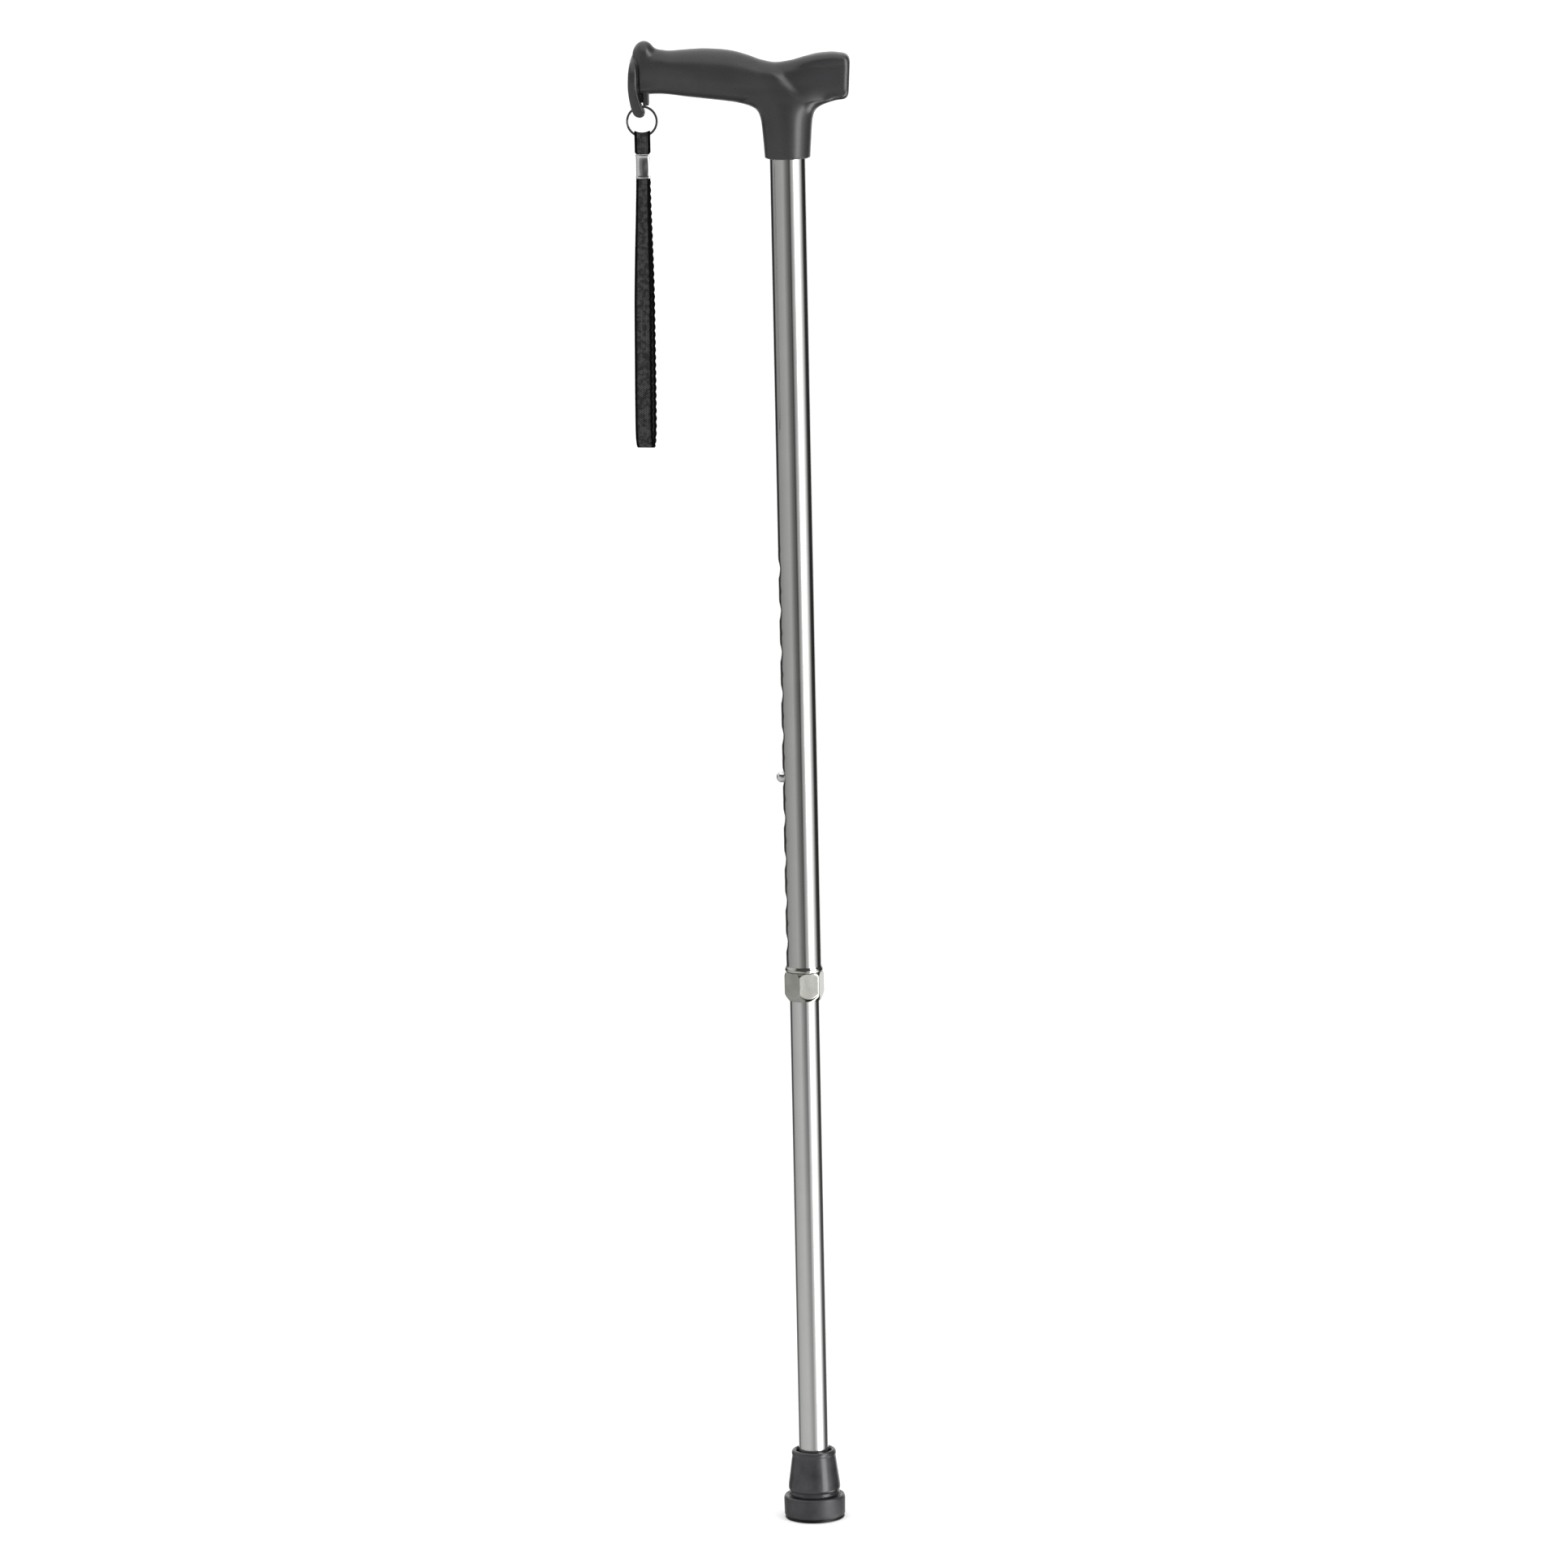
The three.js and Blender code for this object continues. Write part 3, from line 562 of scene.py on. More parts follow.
def mat_webbing():
    """Black woven nylon. The attribute weave holds (across, along, distance from the edge) in millimetres."""
    n = Nodes("webbing")
    at = n.new("Attribute", attribute_name="weave", attribute_type="GEOMETRY")
    sep = n.new("SeparateXYZ")
    n.link(at.outputs["Vector"], sep.inputs[0])
    across, along = sep.outputs[0], sep.outputs[1]
    # a two-up two-down weave: warp columns 0.85 mm wide, weft every 0.62 mm, each column stepped by its neighbour
    col = n.math("MULTIPLY", across, 2 * math.pi / 0.95)
    row = n.math("MULTIPLY", along, 2 * math.pi / 1.25)
    warp = n.math("COSINE", col)
    step = n.math("MULTIPLY", n.math("FLOOR", n.math("DIVIDE", across, 0.95)), math.pi)
    weft = n.math("SINE", n.math("ADD", row, step))
    height = n.math("ADD", n.math("MULTIPLY", warp, 0.5), n.math("MULTIPLY", weft, 0.5))
    fuzz = n.noise(n.coords(), 5200.0, 3.0)
    # painted shade: the colour goes near-black within 1.25 mm of each edge, fading out by 1.95 mm, standing in for the
    # shade where the edges roll away
    painted_edge_shade = n.remap(sep.outputs[2], 1.25, 1.95, 1.0, 0.0)
    blotch = n.noise(n.coords(), 420.0, 3.0)
    # painted shade and painted light: the tone follows the weave's relief, dark in the hollows between threads and
    # lighter on their crests
    tone = n.ramp(
        n.remap(height, -1.0, 1.0, 0.0, 1.0),
        [(0.15, (0.014, 0.014, 0.0145)), (0.85, (0.085, 0.083, 0.086))],
    )
    tone = n.mix(n.remap(blotch, 0.42, 0.58, 0.0, 0.8), tone, (0.012, 0.012, 0.0125))
    tone = n.mix(n.remap(fuzz, 0.35, 0.7, 0.0, 0.35), tone, (0.02, 0.02, 0.021))
    n.colour(n.mix(painted_edge_shade, tone, (0.0016, 0.0016, 0.0017)))
    n.rough(n.remap(fuzz, 0.3, 0.7, 0.8, 0.95))
    n.normal(n.bump(fuzz, 0.25, 0.00008, n.bump(height, 0.6, 0.00022)))
    n.set(IOR=1.4, Specular_IOR_Level=0.08)
    return n.mat


M = {
    "grip": mat_grip(),
    "upper": mat_anodised("anodised_upper", (0.62, 0.62, 0.605), (0.10, 0.15)),
    "lower": mat_anodised("anodised_lower", (0.78, 0.78, 0.77), (0.10, 0.15)),
    "nut": mat_nut(),
    "chrome": mat_chrome(),
    "ring": mat_chrome("nickel_plate", 0.30),
    "rim": mat_rim(),
    "steel": mat_steel(),
    "rubber": mat_rubber(),
    "nylon": mat_nylon(),
    "webbing": mat_webbing(),
}


def dress(obj, key):
    obj.data.materials.clear()
    obj.data.materials.append(M[key])
    return obj


# ------------------------------------------------------------------ wrist strap (the cord comes first)

loop_half = curve(
    [(0, 0.75), (10, 1.7), (20, 2.8), (35, 4.2), (60, 5.7), (85, 6.8), (110, 7.7), (130, 8.1), (146, 8.1)]
)


def loop_line():
    """Middle line of the loop as [y, depth below the crimp], from the front run's top to the back run's top."""
    bottom = CRIMP_Z0 - LOOP_Z0 - WEB_T / 2
    bend = 146.0
    front = [(-float(loop_half(d)), d) for d in np.arange(0.4, bend, 0.7)]
    arc = [
        (-8.1 * math.cos(t), bend + (bottom - bend) * math.sin(t))
        for t in np.linspace(0, math.pi / 2, 26)
    ]
    half = front + arc
    return np.array(half + [(-y, d) for y, d in half[:-1][::-1]])


def loop_place(p):
    """Loop's own (across, y, depth) to the row frame, mm."""
    x, y, d = p[:, 0], p[:, 1], p[:, 2]
    t = math.radians(-LOOP_TURN)
    x, y = x * math.cos(t) - y * math.sin(t), x * math.sin(t) + y * math.cos(t)
    z = -d
    a = math.radians(LOOP_LEAN)
    x, z = x * math.cos(a) + z * math.sin(a), -x * math.sin(a) + z * math.cos(a)
    return np.stack([x + RING_X, y, z + CRIMP_Z0], 1)


def band(name, line, width_at, thickness, place, scallop=None, segs=20, crown=0.0, tail=None):
    """A closed strip of webbing swept along a line of [y, depth], its width along x."""
    n = len(line)
    a = np.vstack([line[:1] * 2 - line[1:2], line, line[-1:] * 2 - line[-2:-1]])
    tan = a[2:] - a[:-2]
    tan /= np.linalg.norm(tan, axis=1)[:, None]
    nrm = np.stack([tan[:, 1], -tan[:, 0]], 1)
    seg = np.linalg.norm(np.diff(line, axis=0), axis=1)
    s = np.concatenate([[0], np.cumsum(seg)])
    # section: flat faces, rounded edges
    us, ts = [], []
    k = segs
    for i in range(k + 1):
        c = -math.cos(math.pi * i / k)
        us.append(c * 0.35 + (2 * i / k - 1) * 0.65)
        ts.append(1.0)
    section = [(u, 1.0) for u in us] + [(u, -1.0) for u in us[::-1]]
    verts, weave = [], []
    half_t = thickness / 2
    m = len(section)
    for i in range(n):
        w = width_at(i, s[i], line[i]) / 2
        ends = min(s[i], s[-1] - s[i])
        pinch = 1.0
        for j, (u, side) in enumerate(section):
            # thinner, rounded edge over the last 0.6 mm
            edge = (1 - abs(u)) * w
            round_ = math.sqrt(max(0.0, 1 - (1 - min(edge / 0.55, 1.0)) ** 2))
            x = u * w
            if scallop is not None and u > 0:
                x += scallop(s[i]) * smoothstep(u, 0.55, 1.0)
            off = side * half_t * pinch * (0.16 + 0.84 * round_)
            y = line[i, 0] + nrm[i, 0] * off
            d = line[i, 1] + nrm[i, 1] * off
            verts.append((x, y, d))
            weave.append((u * w, s[i], (1 - abs(u)) * w))
    faces = []
    for i in range(n - 1):
        for j in range(m):
            q = (j + 1) % m
            faces.append((i * m + j, i * m + q, (i + 1) * m + q, (i + 1) * m + j))
    faces.append(tuple(range(m)))
    faces.append(tuple((n - 1) * m + j for j in range(m))[::-1])
    obj = mesh_object(name, place(np.array(verts, float)), faces, angle=60)
    att = obj.data.attributes.new("weave", "FLOAT_VECTOR", "POINT")
    att.data.foreach_set("vector", np.array(weave, np.float32).ravel())
    face_out(obj)
    return obj, s[-1]


def make_loop():
    core = loop_line()
    # both ends run on into the crimp
    lead = np.array([(-0.72, d) for d in np.arange(-6.4, 0.3, 0.8)])
    line = np.vstack([lead, core, [(-y, d) for y, d in lead[::-1]]])

    def width_at(i, s, p):
        d = p[1]
        inside = float(smoothstep(-d, 0.2, 1.6))
        gather = 0.79 + 0.21 * float(smoothstep(d, 0, 80))
        return WEB_W * gather * (1 - inside) + 6.9 * inside

    def scallop(s):
        return 0.6 * abs(math.sin(math.pi * s / 4.6)) - 0.35

    obj, _ = band("wrist_strap_loop", line, width_at, WEB_T, loop_place, scallop, segs=22)
    dress(obj, "webbing")
    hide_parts("wrist_strap")
    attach(obj, "strap")
    mid = loop_place(np.stack([np.zeros(len(core)), core[:, 0], core[:, 1]], 1))
    length = float(np.linalg.norm(np.diff(mid, axis=0), axis=1).sum())
    return obj, length


LOOP, LOOP_LENGTH = make_loop()


def make_tab():
    """Short band round the ring's wire, both its ends in the crimp."""
    zc = RING_Z - RING_R
    ri, thick = 1.3, 0.95
    rm = ri + thick / 2
    pts = []
    for z in np.arange(833.2, zc - 3.2, 0.5):
        pts.append((0.64 + 0.18 * float(smoothstep(z, 840, 846)), z))
    ts = np.linspace(-0.9, math.pi + 0.9, 40)
    arc = [(rm * math.cos(t), zc + rm * math.sin(t)) for t in ts]
    # ease from the neck into the arc
    a0 = np.array(pts[-1])
    a1 = np.array(arc[0])
    for w in np.linspace(0, 1, 8)[1:-1]:
        p = a0 * (1 - w) + a1 * w
        pts.append(tuple(p))
    right = pts + arc[: len(arc) // 2]
    line = np.array(right + [(-y, z) for y, z in right[::-1]])
    line[:, 0] *= -1  # the front comes first

    def width_at(i, s, p):
        inside = float(smoothstep(840.4 - p[1], 0.0, 1.6))
        return 9.5 * (1 - inside) + 6.9 * inside

    def place(v):
        x, y, z = v[:, 0], v[:, 1], v[:, 2]
        rise = RING_R - np.sqrt(np.maximum(RING_R**2 - x**2, 0))
        follow = smoothstep(z, 843, zc - 1.0)
        t = math.radians(-LOOP_TURN / 2) * smoothstep(-z, -842, -838)
        xr = x * np.cos(t) - y * np.sin(t)
        yr = x * np.sin(t) + y * np.cos(t)
        return np.stack([RING_X + xr, yr, z + 0.9 * follow * rise], 1)

    obj, _ = band("strap_tab_band", line, width_at, thick, place, None, segs=18)
    dress(obj, "webbing")
    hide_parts("strap_tab")
    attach(obj, "strap")


make_tab()

# ------------------------------------------------------------------ crimp and ring


def make_crimp():
    def section(a, b, n=64):
        # rolled round on the one side, folded sharply on the other
        t = 2 * np.pi * np.arange(n) / n
        p = np.where(np.cos(t) > 0, 5.5, 2.5)
        return np.stack(
            [
                a * np.sign(np.cos(t)) * np.abs(np.cos(t)) ** (2 / p),
                b * np.sign(np.sin(t)) * np.abs(np.sin(t)) ** (2 / p),
            ],
            1,
        )

    n = 96
    prof = []  # (inset from outer, z): outer wall up, then inner wall down
    h0, h1 = CRIMP_Z0, CRIMP_Z1
    outer = [
        (0.22, h0), (0.06, h0 + 0.12), (-0.08, h0 + 0.4), (-0.12, h0 + 0.8), (-0.06, h0 + 1.2), (0.06, h0 + 1.6),
        (0.12, h0 + 2.2), (0.14, h0 + 4), (0.15, (h0 + h1) / 2), (0.14, h1 - 4), (0.12, h1 - 2.2), (0.06, h1 - 1.6),
        (-0.06, h1 - 1.2), (-0.12, h1 - 0.8), (-0.08, h1 - 0.4), (0.06, h1 - 0.12), (0.22, h1),
    ]
    inner = [(0.55, h1), (0.7, h1 - 0.3), (0.72, h1 - 2), (0.72, h0 + 2), (0.7, h0 + 0.3), (0.55, h0)]
    prof = outer + inner
    verts, faces = [], []
    for inset, z in prof:
        ring = section(4.3 - inset, 2.68 - inset, n)
        # the press mark in the middle of each face
        press = 0.26 * math.exp(-(((z - (h0 + h1) / 2) / 2.6) ** 4)) if inset < 0.4 else 0.0
        for x, y in ring:
            squeeze = press * math.exp(-((x / 2.4) ** 4))
            seam = 0.0
            if y > 0 and abs(x) < 0.35 and inset < 0.4:
                seam = 0.28 * (1 - abs(x) / 0.35)
            verts.append((x, math.copysign(max(abs(y) - squeeze - seam, 0.0), y), z))
    m = len(prof)
    for i in range(m):
        for j in range(n):
            k = (j + 1) % n
            a, b = i * n, ((i + 1) % m) * n
            faces.append((a + j, a + k, b + k, b + j))
    v = np.array(verts)
    t = math.radians(3.6)
    x = v[:, 0] * math.cos(t) - v[:, 1] * math.sin(t)
    y = v[:, 0] * math.sin(t) + v[:, 1] * math.cos(t)
    v = np.stack([x + RING_X, y, v[:, 2]], 1)
    obj = mesh_object("strap_crimp_sleeve", v, faces, angle=50)
    face_out(obj)
    dress(obj, "chrome")
    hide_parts("strap_crimp")
    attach(obj, "strap")


make_crimp()


def make_ring():
    """Split ring: two turns of flat wire lying side by side, each stepping over where the ends meet."""
    turns = 2.0
    total = 2 * math.pi * turns - math.radians(14)
    steps = 220
    start = math.radians(200)
    half_r = RING_WIRE_RADIAL + 0.1
    half_a = 0.46
    section = rounded(
        [(-half_r, -half_a), (half_r, -half_a), (half_r, half_a), (-half_r, half_a)], 0.2, 4
    )
    m = len(section)
    verts, faces = [], []
    for i in range(steps + 1):
        t = total * i / steps
        ang = start + t
        # axial place of the wire: -0.5, stepping to +0.5 in the middle of its length
        w = float(smoothstep(t, total / 2 - math.radians(26), total / 2 + math.radians(26)))
        off = -0.5 + w
        taper = 1.0
        ends = min(t, total - t)
        if ends < math.radians(3):
            taper = 0.7 + 0.3 * ends / math.radians(3)
        for r, a in section:
            rr = RING_R + r * taper
            verts.append(
                (RING_X + rr * math.cos(ang), off * 1.04 + a * taper, RING_Z + rr * math.sin(ang))
            )
    for i in range(steps):
        for j in range(m):
            k = (j + 1) % m
            faces.append((i * m + j, i * m + k, (i + 1) * m + k, (i + 1) * m + j))
    faces.append(tuple(range(m)))
    faces.append(tuple(steps * m + j for j in range(m))[::-1])
    obj = mesh_object("strap_split_ring", verts, faces, angle=50)
    face_out(obj)
    dress(obj, "ring")
    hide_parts("strap_ring")
    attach(obj, "ring")


make_ring()

# ------------------------------------------------------------------ handle

grip_top = curve(
    [(-88, 899.5), (-78, 901.5), (-69, 900.5), (-60, 901.0), (-50, 901.4), (-40, 900.9), (-32, 899.8), (-23, 897.2),
     (-14, 893.9), (-6, 892.4), (2, 893.3), (12, 895.8), (20, 897.4), (27, 897.8), (33, 897.2), (38.1, 896.2)]
)
grip_bottom = curve(
    [(-88, 874.8), (-77, 875.0), (-57, 872.7), (-38, 870.3), (-26, 868.7), (-10, 867.6), (8, 866.8), (20, 867.4),
     (30, 869.1), (38.1, 869.8)]
)
grip_widest = curve(
    [(-88, 889), (-78, 890), (-64, 888), (-50, 886), (-36, 884), (-20, 882), (0, 881), (20, 883), (38.1, 883)]
)
grip_half_width = curve(
    [(-88, 12.6), (-78, 12.2), (-66, 14.0), (-50, 16.4), (-36, 16.8), (-22, 15.8), (-6, 14.2), (8, 13.8), (24, 13.6),
     (38.1, 12.8)]
)
socket_left = curve(
    [(834.2, -13.5), (846, -14.3), (857, -15.3), (861.5, -16.4), (864.5, -18.3), (867, -22.0), (869.5, -28.5)]
)
socket_right = curve(
    [(834.2, 13.5), (846, 14.3), (857, 15.2), (861.5, 16.2), (864.5, 18.1), (867, 21.4), (869.5, 27.5)]
)
socket_depth = curve([(834.2, 13.5), (846, 13.9), (857, 14.2), (869.5, 13.9)])
plate_left = curve(
    [(858.0, -86.0), (860.6, -88.3), (861.6, -89.9), (863.5, -91.3), (866.0, -92.2), (870.0, -93.1), (875.0, -93.8),
     (880.0, -94.1), (886.0, -93.9), (891.0, -93.4), (894.5, -92.6), (898.0, -91.4)]
)
plate_right = curve(
    [(858.0, -86.9), (860.6, -86.6), (861.4, -85.6), (862.6, -84.7), (864.4, -84.3), (866.0, -85.0), (868.0, -86.1),
     (871.0, -87.1), (875.0, -88.0), (880.0, -88.6), (898.0, -88.7)]
)
plate_half = curve(
    [(858.0, 2.0), (860.6, 4.8), (862.2, 6.8), (865.0, 8.6), (869.0, 10.8), (874.0, 13.6), (879.0, 15.9), (882.95, 16.6)]
)


def radial(F, r):
    """Distance along the ray from a section's centre, for a section function that is 1 on the surface."""
    F = np.maximum(F, 1e-3)
    return r * (1 - 1 / F)


def handle_distance(P):
    x, y, z = P[:, 0], P[:, 1], P[:, 2]
    # grip
    lean = smoothstep(x, 22, 38.1) * 0.055 * (z - 892)
    xs = x - np.minimum(lean, 0)
    zt, zb, zw, w = grip_top(xs), grip_bottom(xs), grip_widest(xs), grip_half_width(xs)
    # the nose is set in from the palm's swell, along a line that slants down to the socket
    ridge = (x - 0.5) * 0.787 + (z - 880.0) * 0.617
    w = w - 2.3 * smoothstep(ridge, -3.6, 3.6) * smoothstep(-z, -897.0, -889.0)
    # shallow panel in the nose's side
    w = w - 0.8 * smoothstep(x, 6, 30) * smoothstep(-x, -33.0, -31.8) * smoothstep(-z, -890.6, -889.6)
    # a groove parts the grip from its flange
    w = w - 1.8 * smoothstep(-x, 86.9, 87.7)
    boxy = smoothstep(xs, 5, 30)
    up, down = 2.15 + 1.1 * boxy, 2.35 + 0.9 * boxy
    over = z > zw
    sz = np.where(over, (z - zw) / (zt - zw), (zw - z) / (zw - zb))
    k = np.where(over, up, down)
    c = np.maximum(np.abs(y) / w, 1e-6)
    F = (c**k + np.maximum(np.abs(sz), 1e-6) ** k) ** (1 / k)
    grip = radial(F, np.sqrt(y * y + (z - zw) ** 2) + 1e-6)
    grip = smax(grip, xs - 38.1, 4.2)
    grip = smax(grip, -89.0 - x, 1.0)
    # socket
    zc = np.clip(z, 834.2, 869.5)
    l, r = socket_left(zc), socket_right(zc)
    cx, hx, dy = (l + r) / 2, (r - l) / 2, socket_depth(zc)
    F = np.sqrt(((x - cx) / hx) ** 2 + (y / dy) ** 2)
    socket = radial(F, np.sqrt((x - cx) ** 2 + y * y) + 1e-6)
    socket = smax(socket, SOCKET_Z0 - z, 1.1)
    # a step at its mouth
    socket = smax(socket, smin(835.5 - z, socket + 0.75, 0.15), 0.15)
    socket = smax(socket, z - 876.0, 6.0)
    body = smin(grip, socket, 4.2)
    # flange: a drop-shaped plate across the end, whose foot is the strap's lug
    F = (np.maximum(np.abs(y / 16.6), 1e-6) ** 2.2 + np.maximum(np.abs((z - 882.95) / 13.95), 1e-6) ** 2.2) ** (1 / 2.2)
    oval = radial(F, np.sqrt(y * y + (z - 882.95) ** 2) + 1e-6)
    outline = np.where(z > 882.95, oval, (np.abs(y) - plate_half(np.clip(z, 858.0, 882.95))) * 0.86)
    left = plate_left(np.clip(z, 858.0, 898.0))
    right = plate_right(np.clip(z, 858.0, 898.0))
    plate = smax(smax(outline, x - right, 1.7), left - x, 2.4)
    plate = smax(plate, 860.6 - z, 2.4)
    body = smin(body, plate, 0.5)
    # knob
    kx, ky, kz = (x + 84.2) / 6.9, y / 10.5, (z - 897.6) / 8.9
    F = np.sqrt(kx * kx + ky * ky + kz * kz)
    knob = radial(F, np.sqrt((x + 84.2) ** 2 + y * y + (z - 897.6) ** 2) + 1e-6)
    body = smin(body, knob, 2.6)
    # a rounded rib under the grip, behind the lug
    rx, ry, rz = np.abs(x + 83.6) - 1.85 + 0.9, np.abs(y) - 6.2 + 0.9, np.abs(z - 874.4) - 6.0 + 0.9
    rib = np.sqrt(np.maximum(rx, 0) ** 2 + np.maximum(ry, 0) ** 2 + np.maximum(rz, 0) ** 2) - 0.9
    rib += np.minimum(np.maximum(np.maximum(rx, ry), rz), 0)
    body = smin(body, rib, 0.5)
    web = np.maximum(np.maximum(np.abs(x + 85.6) - 3.4, np.abs(y) - 2.4), np.abs(z - 874.0) - 4.4)
    body = smin(body, web, 0.4)
    # cuts
    bore = smax(np.sqrt(x * x + y * y) - SOCKET_BORE_R, z - SOCKET_BORE_Z1, 0.6)
    bore = np.minimum(bore, smax(np.sqrt(x * x + y * y) - (SOCKET_BORE_R + 0.9 - (z - 834.2)), z - 836, 0.2))
    hz = 868.1
    rad = np.sqrt(y * y + (z - hz) ** 2)
    t = x - RING_X
    flare = np.where(t < -2.2, 2.5 + (-2.2 - t) * (3.7 / 6.8), np.where(t > 2.2, 2.5 + (t - 2.2) * (1.8 / 3.4), 2.5))
    flare = np.minimum(flare, 5.2)
    hole = smax(rad - flare, np.abs(t) - 12.0, 0.4)
    screw = np.sqrt(x * x + (z - SCREW_Z) ** 2)
    hole2 = smax(screw - 2.1, 8 - y, 0.2)
    hole3 = smax(screw - 4.1, 11.9 - y, 0.3)
    body = smax(body, -bore, 0.7)
    body = smax(body, -hole, 0.9)
    body = smax(body, -hole2, 0.3)
    body = smax(body, -hole3, 0.8)
    return body


def make_handle():
    step = 0.62
    verts, quads = solid_of(handle_distance, (-95.0, -18.4, 832.6), (40.4, 18.4, 908.4), step)
    obj = quads_object("handle_grip", verts, quads)
    dress(obj, "grip")
    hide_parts("handle")
    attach(obj, "upper")
    return obj


HANDLE = make_handle()

# ------------------------------------------------------------------ tubes


def tube_with_holes(ro, ri, z0, z1, holes, hole_r, lip=0.18, side=64, rows=14, pitch=HOLE_PITCH, dimple=0.0):
    """Tube along Z with round holes through its -X side, each with a small broken edge.
    Round each hole a square patch of the wall is meshed as rings between the hole and the square's rim."""
    verts, faces = [], []

    def add(p):
        verts.append(p)
        return len(verts) - 1

    half_z = pitch / 2
    half_a = math.radians(47)  # half angle of the patch round -X
    cols_patch = rows  # divisions of each side of the square
    # lines of z: the ends, then the patches' rows
    zs = []
    holes = sorted(holes)
    span = [(h - half_z, h + half_z) for h in holes]
    for a, b in span:
        zs += list(np.linspace(a, b, rows + 1))
    lines = [z0, z0 + lip]
    low = min([s[0] for s in span]) if span else z1
    n = max(2, int((low - z0 - lip) / 2.2))
    if span:
        lines += list(np.linspace(z0 + lip, low, n + 1))[1:]
        for a, b in span:
            lines += [z for z in np.linspace(a, b, rows + 1) if z > lines[-1] + 1e-6]
        high = lines[-1]
    else:
        high = z0 + lip
    n = max(2, int((z1 - lip - high) / 3.0))
    lines += list(np.linspace(high, z1 - lip, n + 1))[1:]
    lines += [z1]
    lines = np.array(lines)
    # angles: patch columns first (round -X), then the rest
    patch_ang = np.linspace(-half_a, half_a, cols_patch + 1)
    rest = np.linspace(half_a, 2 * math.pi - half_a, side + 1)[1:-1]
    angs = np.concatenate([patch_ang, rest])  # measured from -X
    na = len(angs)

    def grid(r):
        ids = {}
        for i, z in enumerate(lines):
            rr = r
            if i in (0, len(lines) - 1):
                rr = r - lip if r == ro else r + lip
            for j, a in enumerate(angs):
                ids[i, j] = (rr, a, z)
        return ids

    def point(r, a, z):
        # the punch has pressed the wall in a little round each hole
        if holes and abs(a) < 1.2:
            d = math.hypot(r * math.sin(a), min((z - h for h in holes), key=abs))
            if d < hole_r + 2.4:
                # the bore's side less, so that it stays clear of the lower tube
                press = dimple if r > (ro + ri) / 2 else min(dimple, 0.18)
                r -= press * (1 - float(smoothstep(d, hole_r - 0.6, hole_r + 2.4)))
        return (-r * math.cos(a), -r * math.sin(a), z)

    def hole_ring(r, h, rh):
        out = []
        for k in range(4 * rows):
            # the square's rim, walked from (-a, -z)
            s, side_i = k % rows, k // rows
            f = s / rows
            if side_i == 0:
                pa, pz = -1 + 2 * f, -1
            elif side_i == 1:
                pa, pz = 1, -1 + 2 * f
            elif side_i == 2:
                pa, pz = 1 - 2 * f, 1
            else:
                pa, pz = -1, 1 - 2 * f
            phi = math.atan2(pz * half_z, pa * ro * half_a)
            y = rh * math.cos(phi)
            out.append((math.asin(max(-1, min(1, y / r))), h + rh * math.sin(phi)))
        return out

    index = {}
    for wall, r in (("o", ro), ("i", ri)):
        g = grid(r)
        inside = set()
        for h in holes:
            for i, z in enumerate(lines):
                if h - half_z + 1e-6 < z < h + half_z - 1e-6:
                    for j in range(1, cols_patch):
                        inside.add((i, j))
        for key, (rr, a, z) in g.items():
            if key not in inside:
                index[wall, key] = add(point(rr, a, z))
        for i in range(len(lines) - 1):
            for j in range(na):
                k = (j + 1) % na
                mid_z = (lines[i] + lines[i + 1]) / 2
                in_patch = j < cols_patch and any(h - half_z < mid_z < h + half_z for h in holes)
                if in_patch:
                    continue
                q = [(i, j), (i, k), (i + 1, k), (i + 1, j)]
                faces.append([index[wall, c] for c in q])
        for h in holes:
            i0 = int(np.argmin(abs(lines - (h - half_z))))
            rim = []
            for k in range(4 * rows):
                s, side_i = k % rows, k // rows
                key = {
                    0: (i0, s),
                    1: (i0 + s, cols_patch),
                    2: (i0 + rows, cols_patch - s),
                    3: (i0 + rows - s, 0),
                }[side_i]
                rim.append(index[wall, key])
            rim_pos = []
            for k in range(4 * rows):
                s, side_i = k % rows, k // rows
                f = s / rows
                if side_i == 0:
                    rim_pos.append((-half_a + 2 * half_a * f, h - half_z))
                elif side_i == 1:
                    rim_pos.append((half_a, h - half_z + 2 * half_z * f))
                elif side_i == 2:
                    rim_pos.append((half_a - 2 * half_a * f, h + half_z))
                else:
                    rim_pos.append((-half_a, h + half_z - 2 * half_z * f))
            outer_rh = hole_r + (lip if wall == "o" else 0.0)
            edge = hole_ring(r, h, outer_rh)
            prev = rim
            # rings from the rim to the hole
            for w in (0.3, 0.55, 0.75, 0.88, 0.96, 1.0):
                ring = []
                for k in range(4 * rows):
                    a = rim_pos[k][0] * (1 - w) + edge[k][0] * w
                    z = rim_pos[k][1] * (1 - w) + edge[k][1] * w
                    ring.append(add(point(r, a, z)))
                for k in range(4 * rows):
                    q = (k + 1) % (4 * rows)
                    faces.append([prev[k], prev[q], ring[q], ring[k]])
                prev = ring
            index[wall, "hole", h] = prev
    # hole walls: broken edge, then straight through
    for h in holes:
        a = index["o", "hole", h]
        b = index["i", "hole", h]
        mid_ring = []
        edge = hole_ring(ro, h, hole_r)
        for k in range(4 * rows):
            y = ro * math.sin(edge[k][0])
            xx = -math.sqrt(max(ro * ro - y * y, 0)) + lip * 0.8 + dimple * 0.93
            mid_ring.append(add((xx, -y, edge[k][1])))
        for k in range(4 * rows):
            q = (k + 1) % (4 * rows)
            faces.append([a[k], a[q], mid_ring[q], mid_ring[k]])
            faces.append([mid_ring[k], mid_ring[q], b[q], b[k]])
    # end faces
    for i in (0, len(lines) - 1):
        for j in range(na):
            k = (j + 1) % na
            faces.append([index["o", (i, j)], index["o", (i, k)], index["i", (i, k)], index["i", (i, j)]])
    return verts, faces


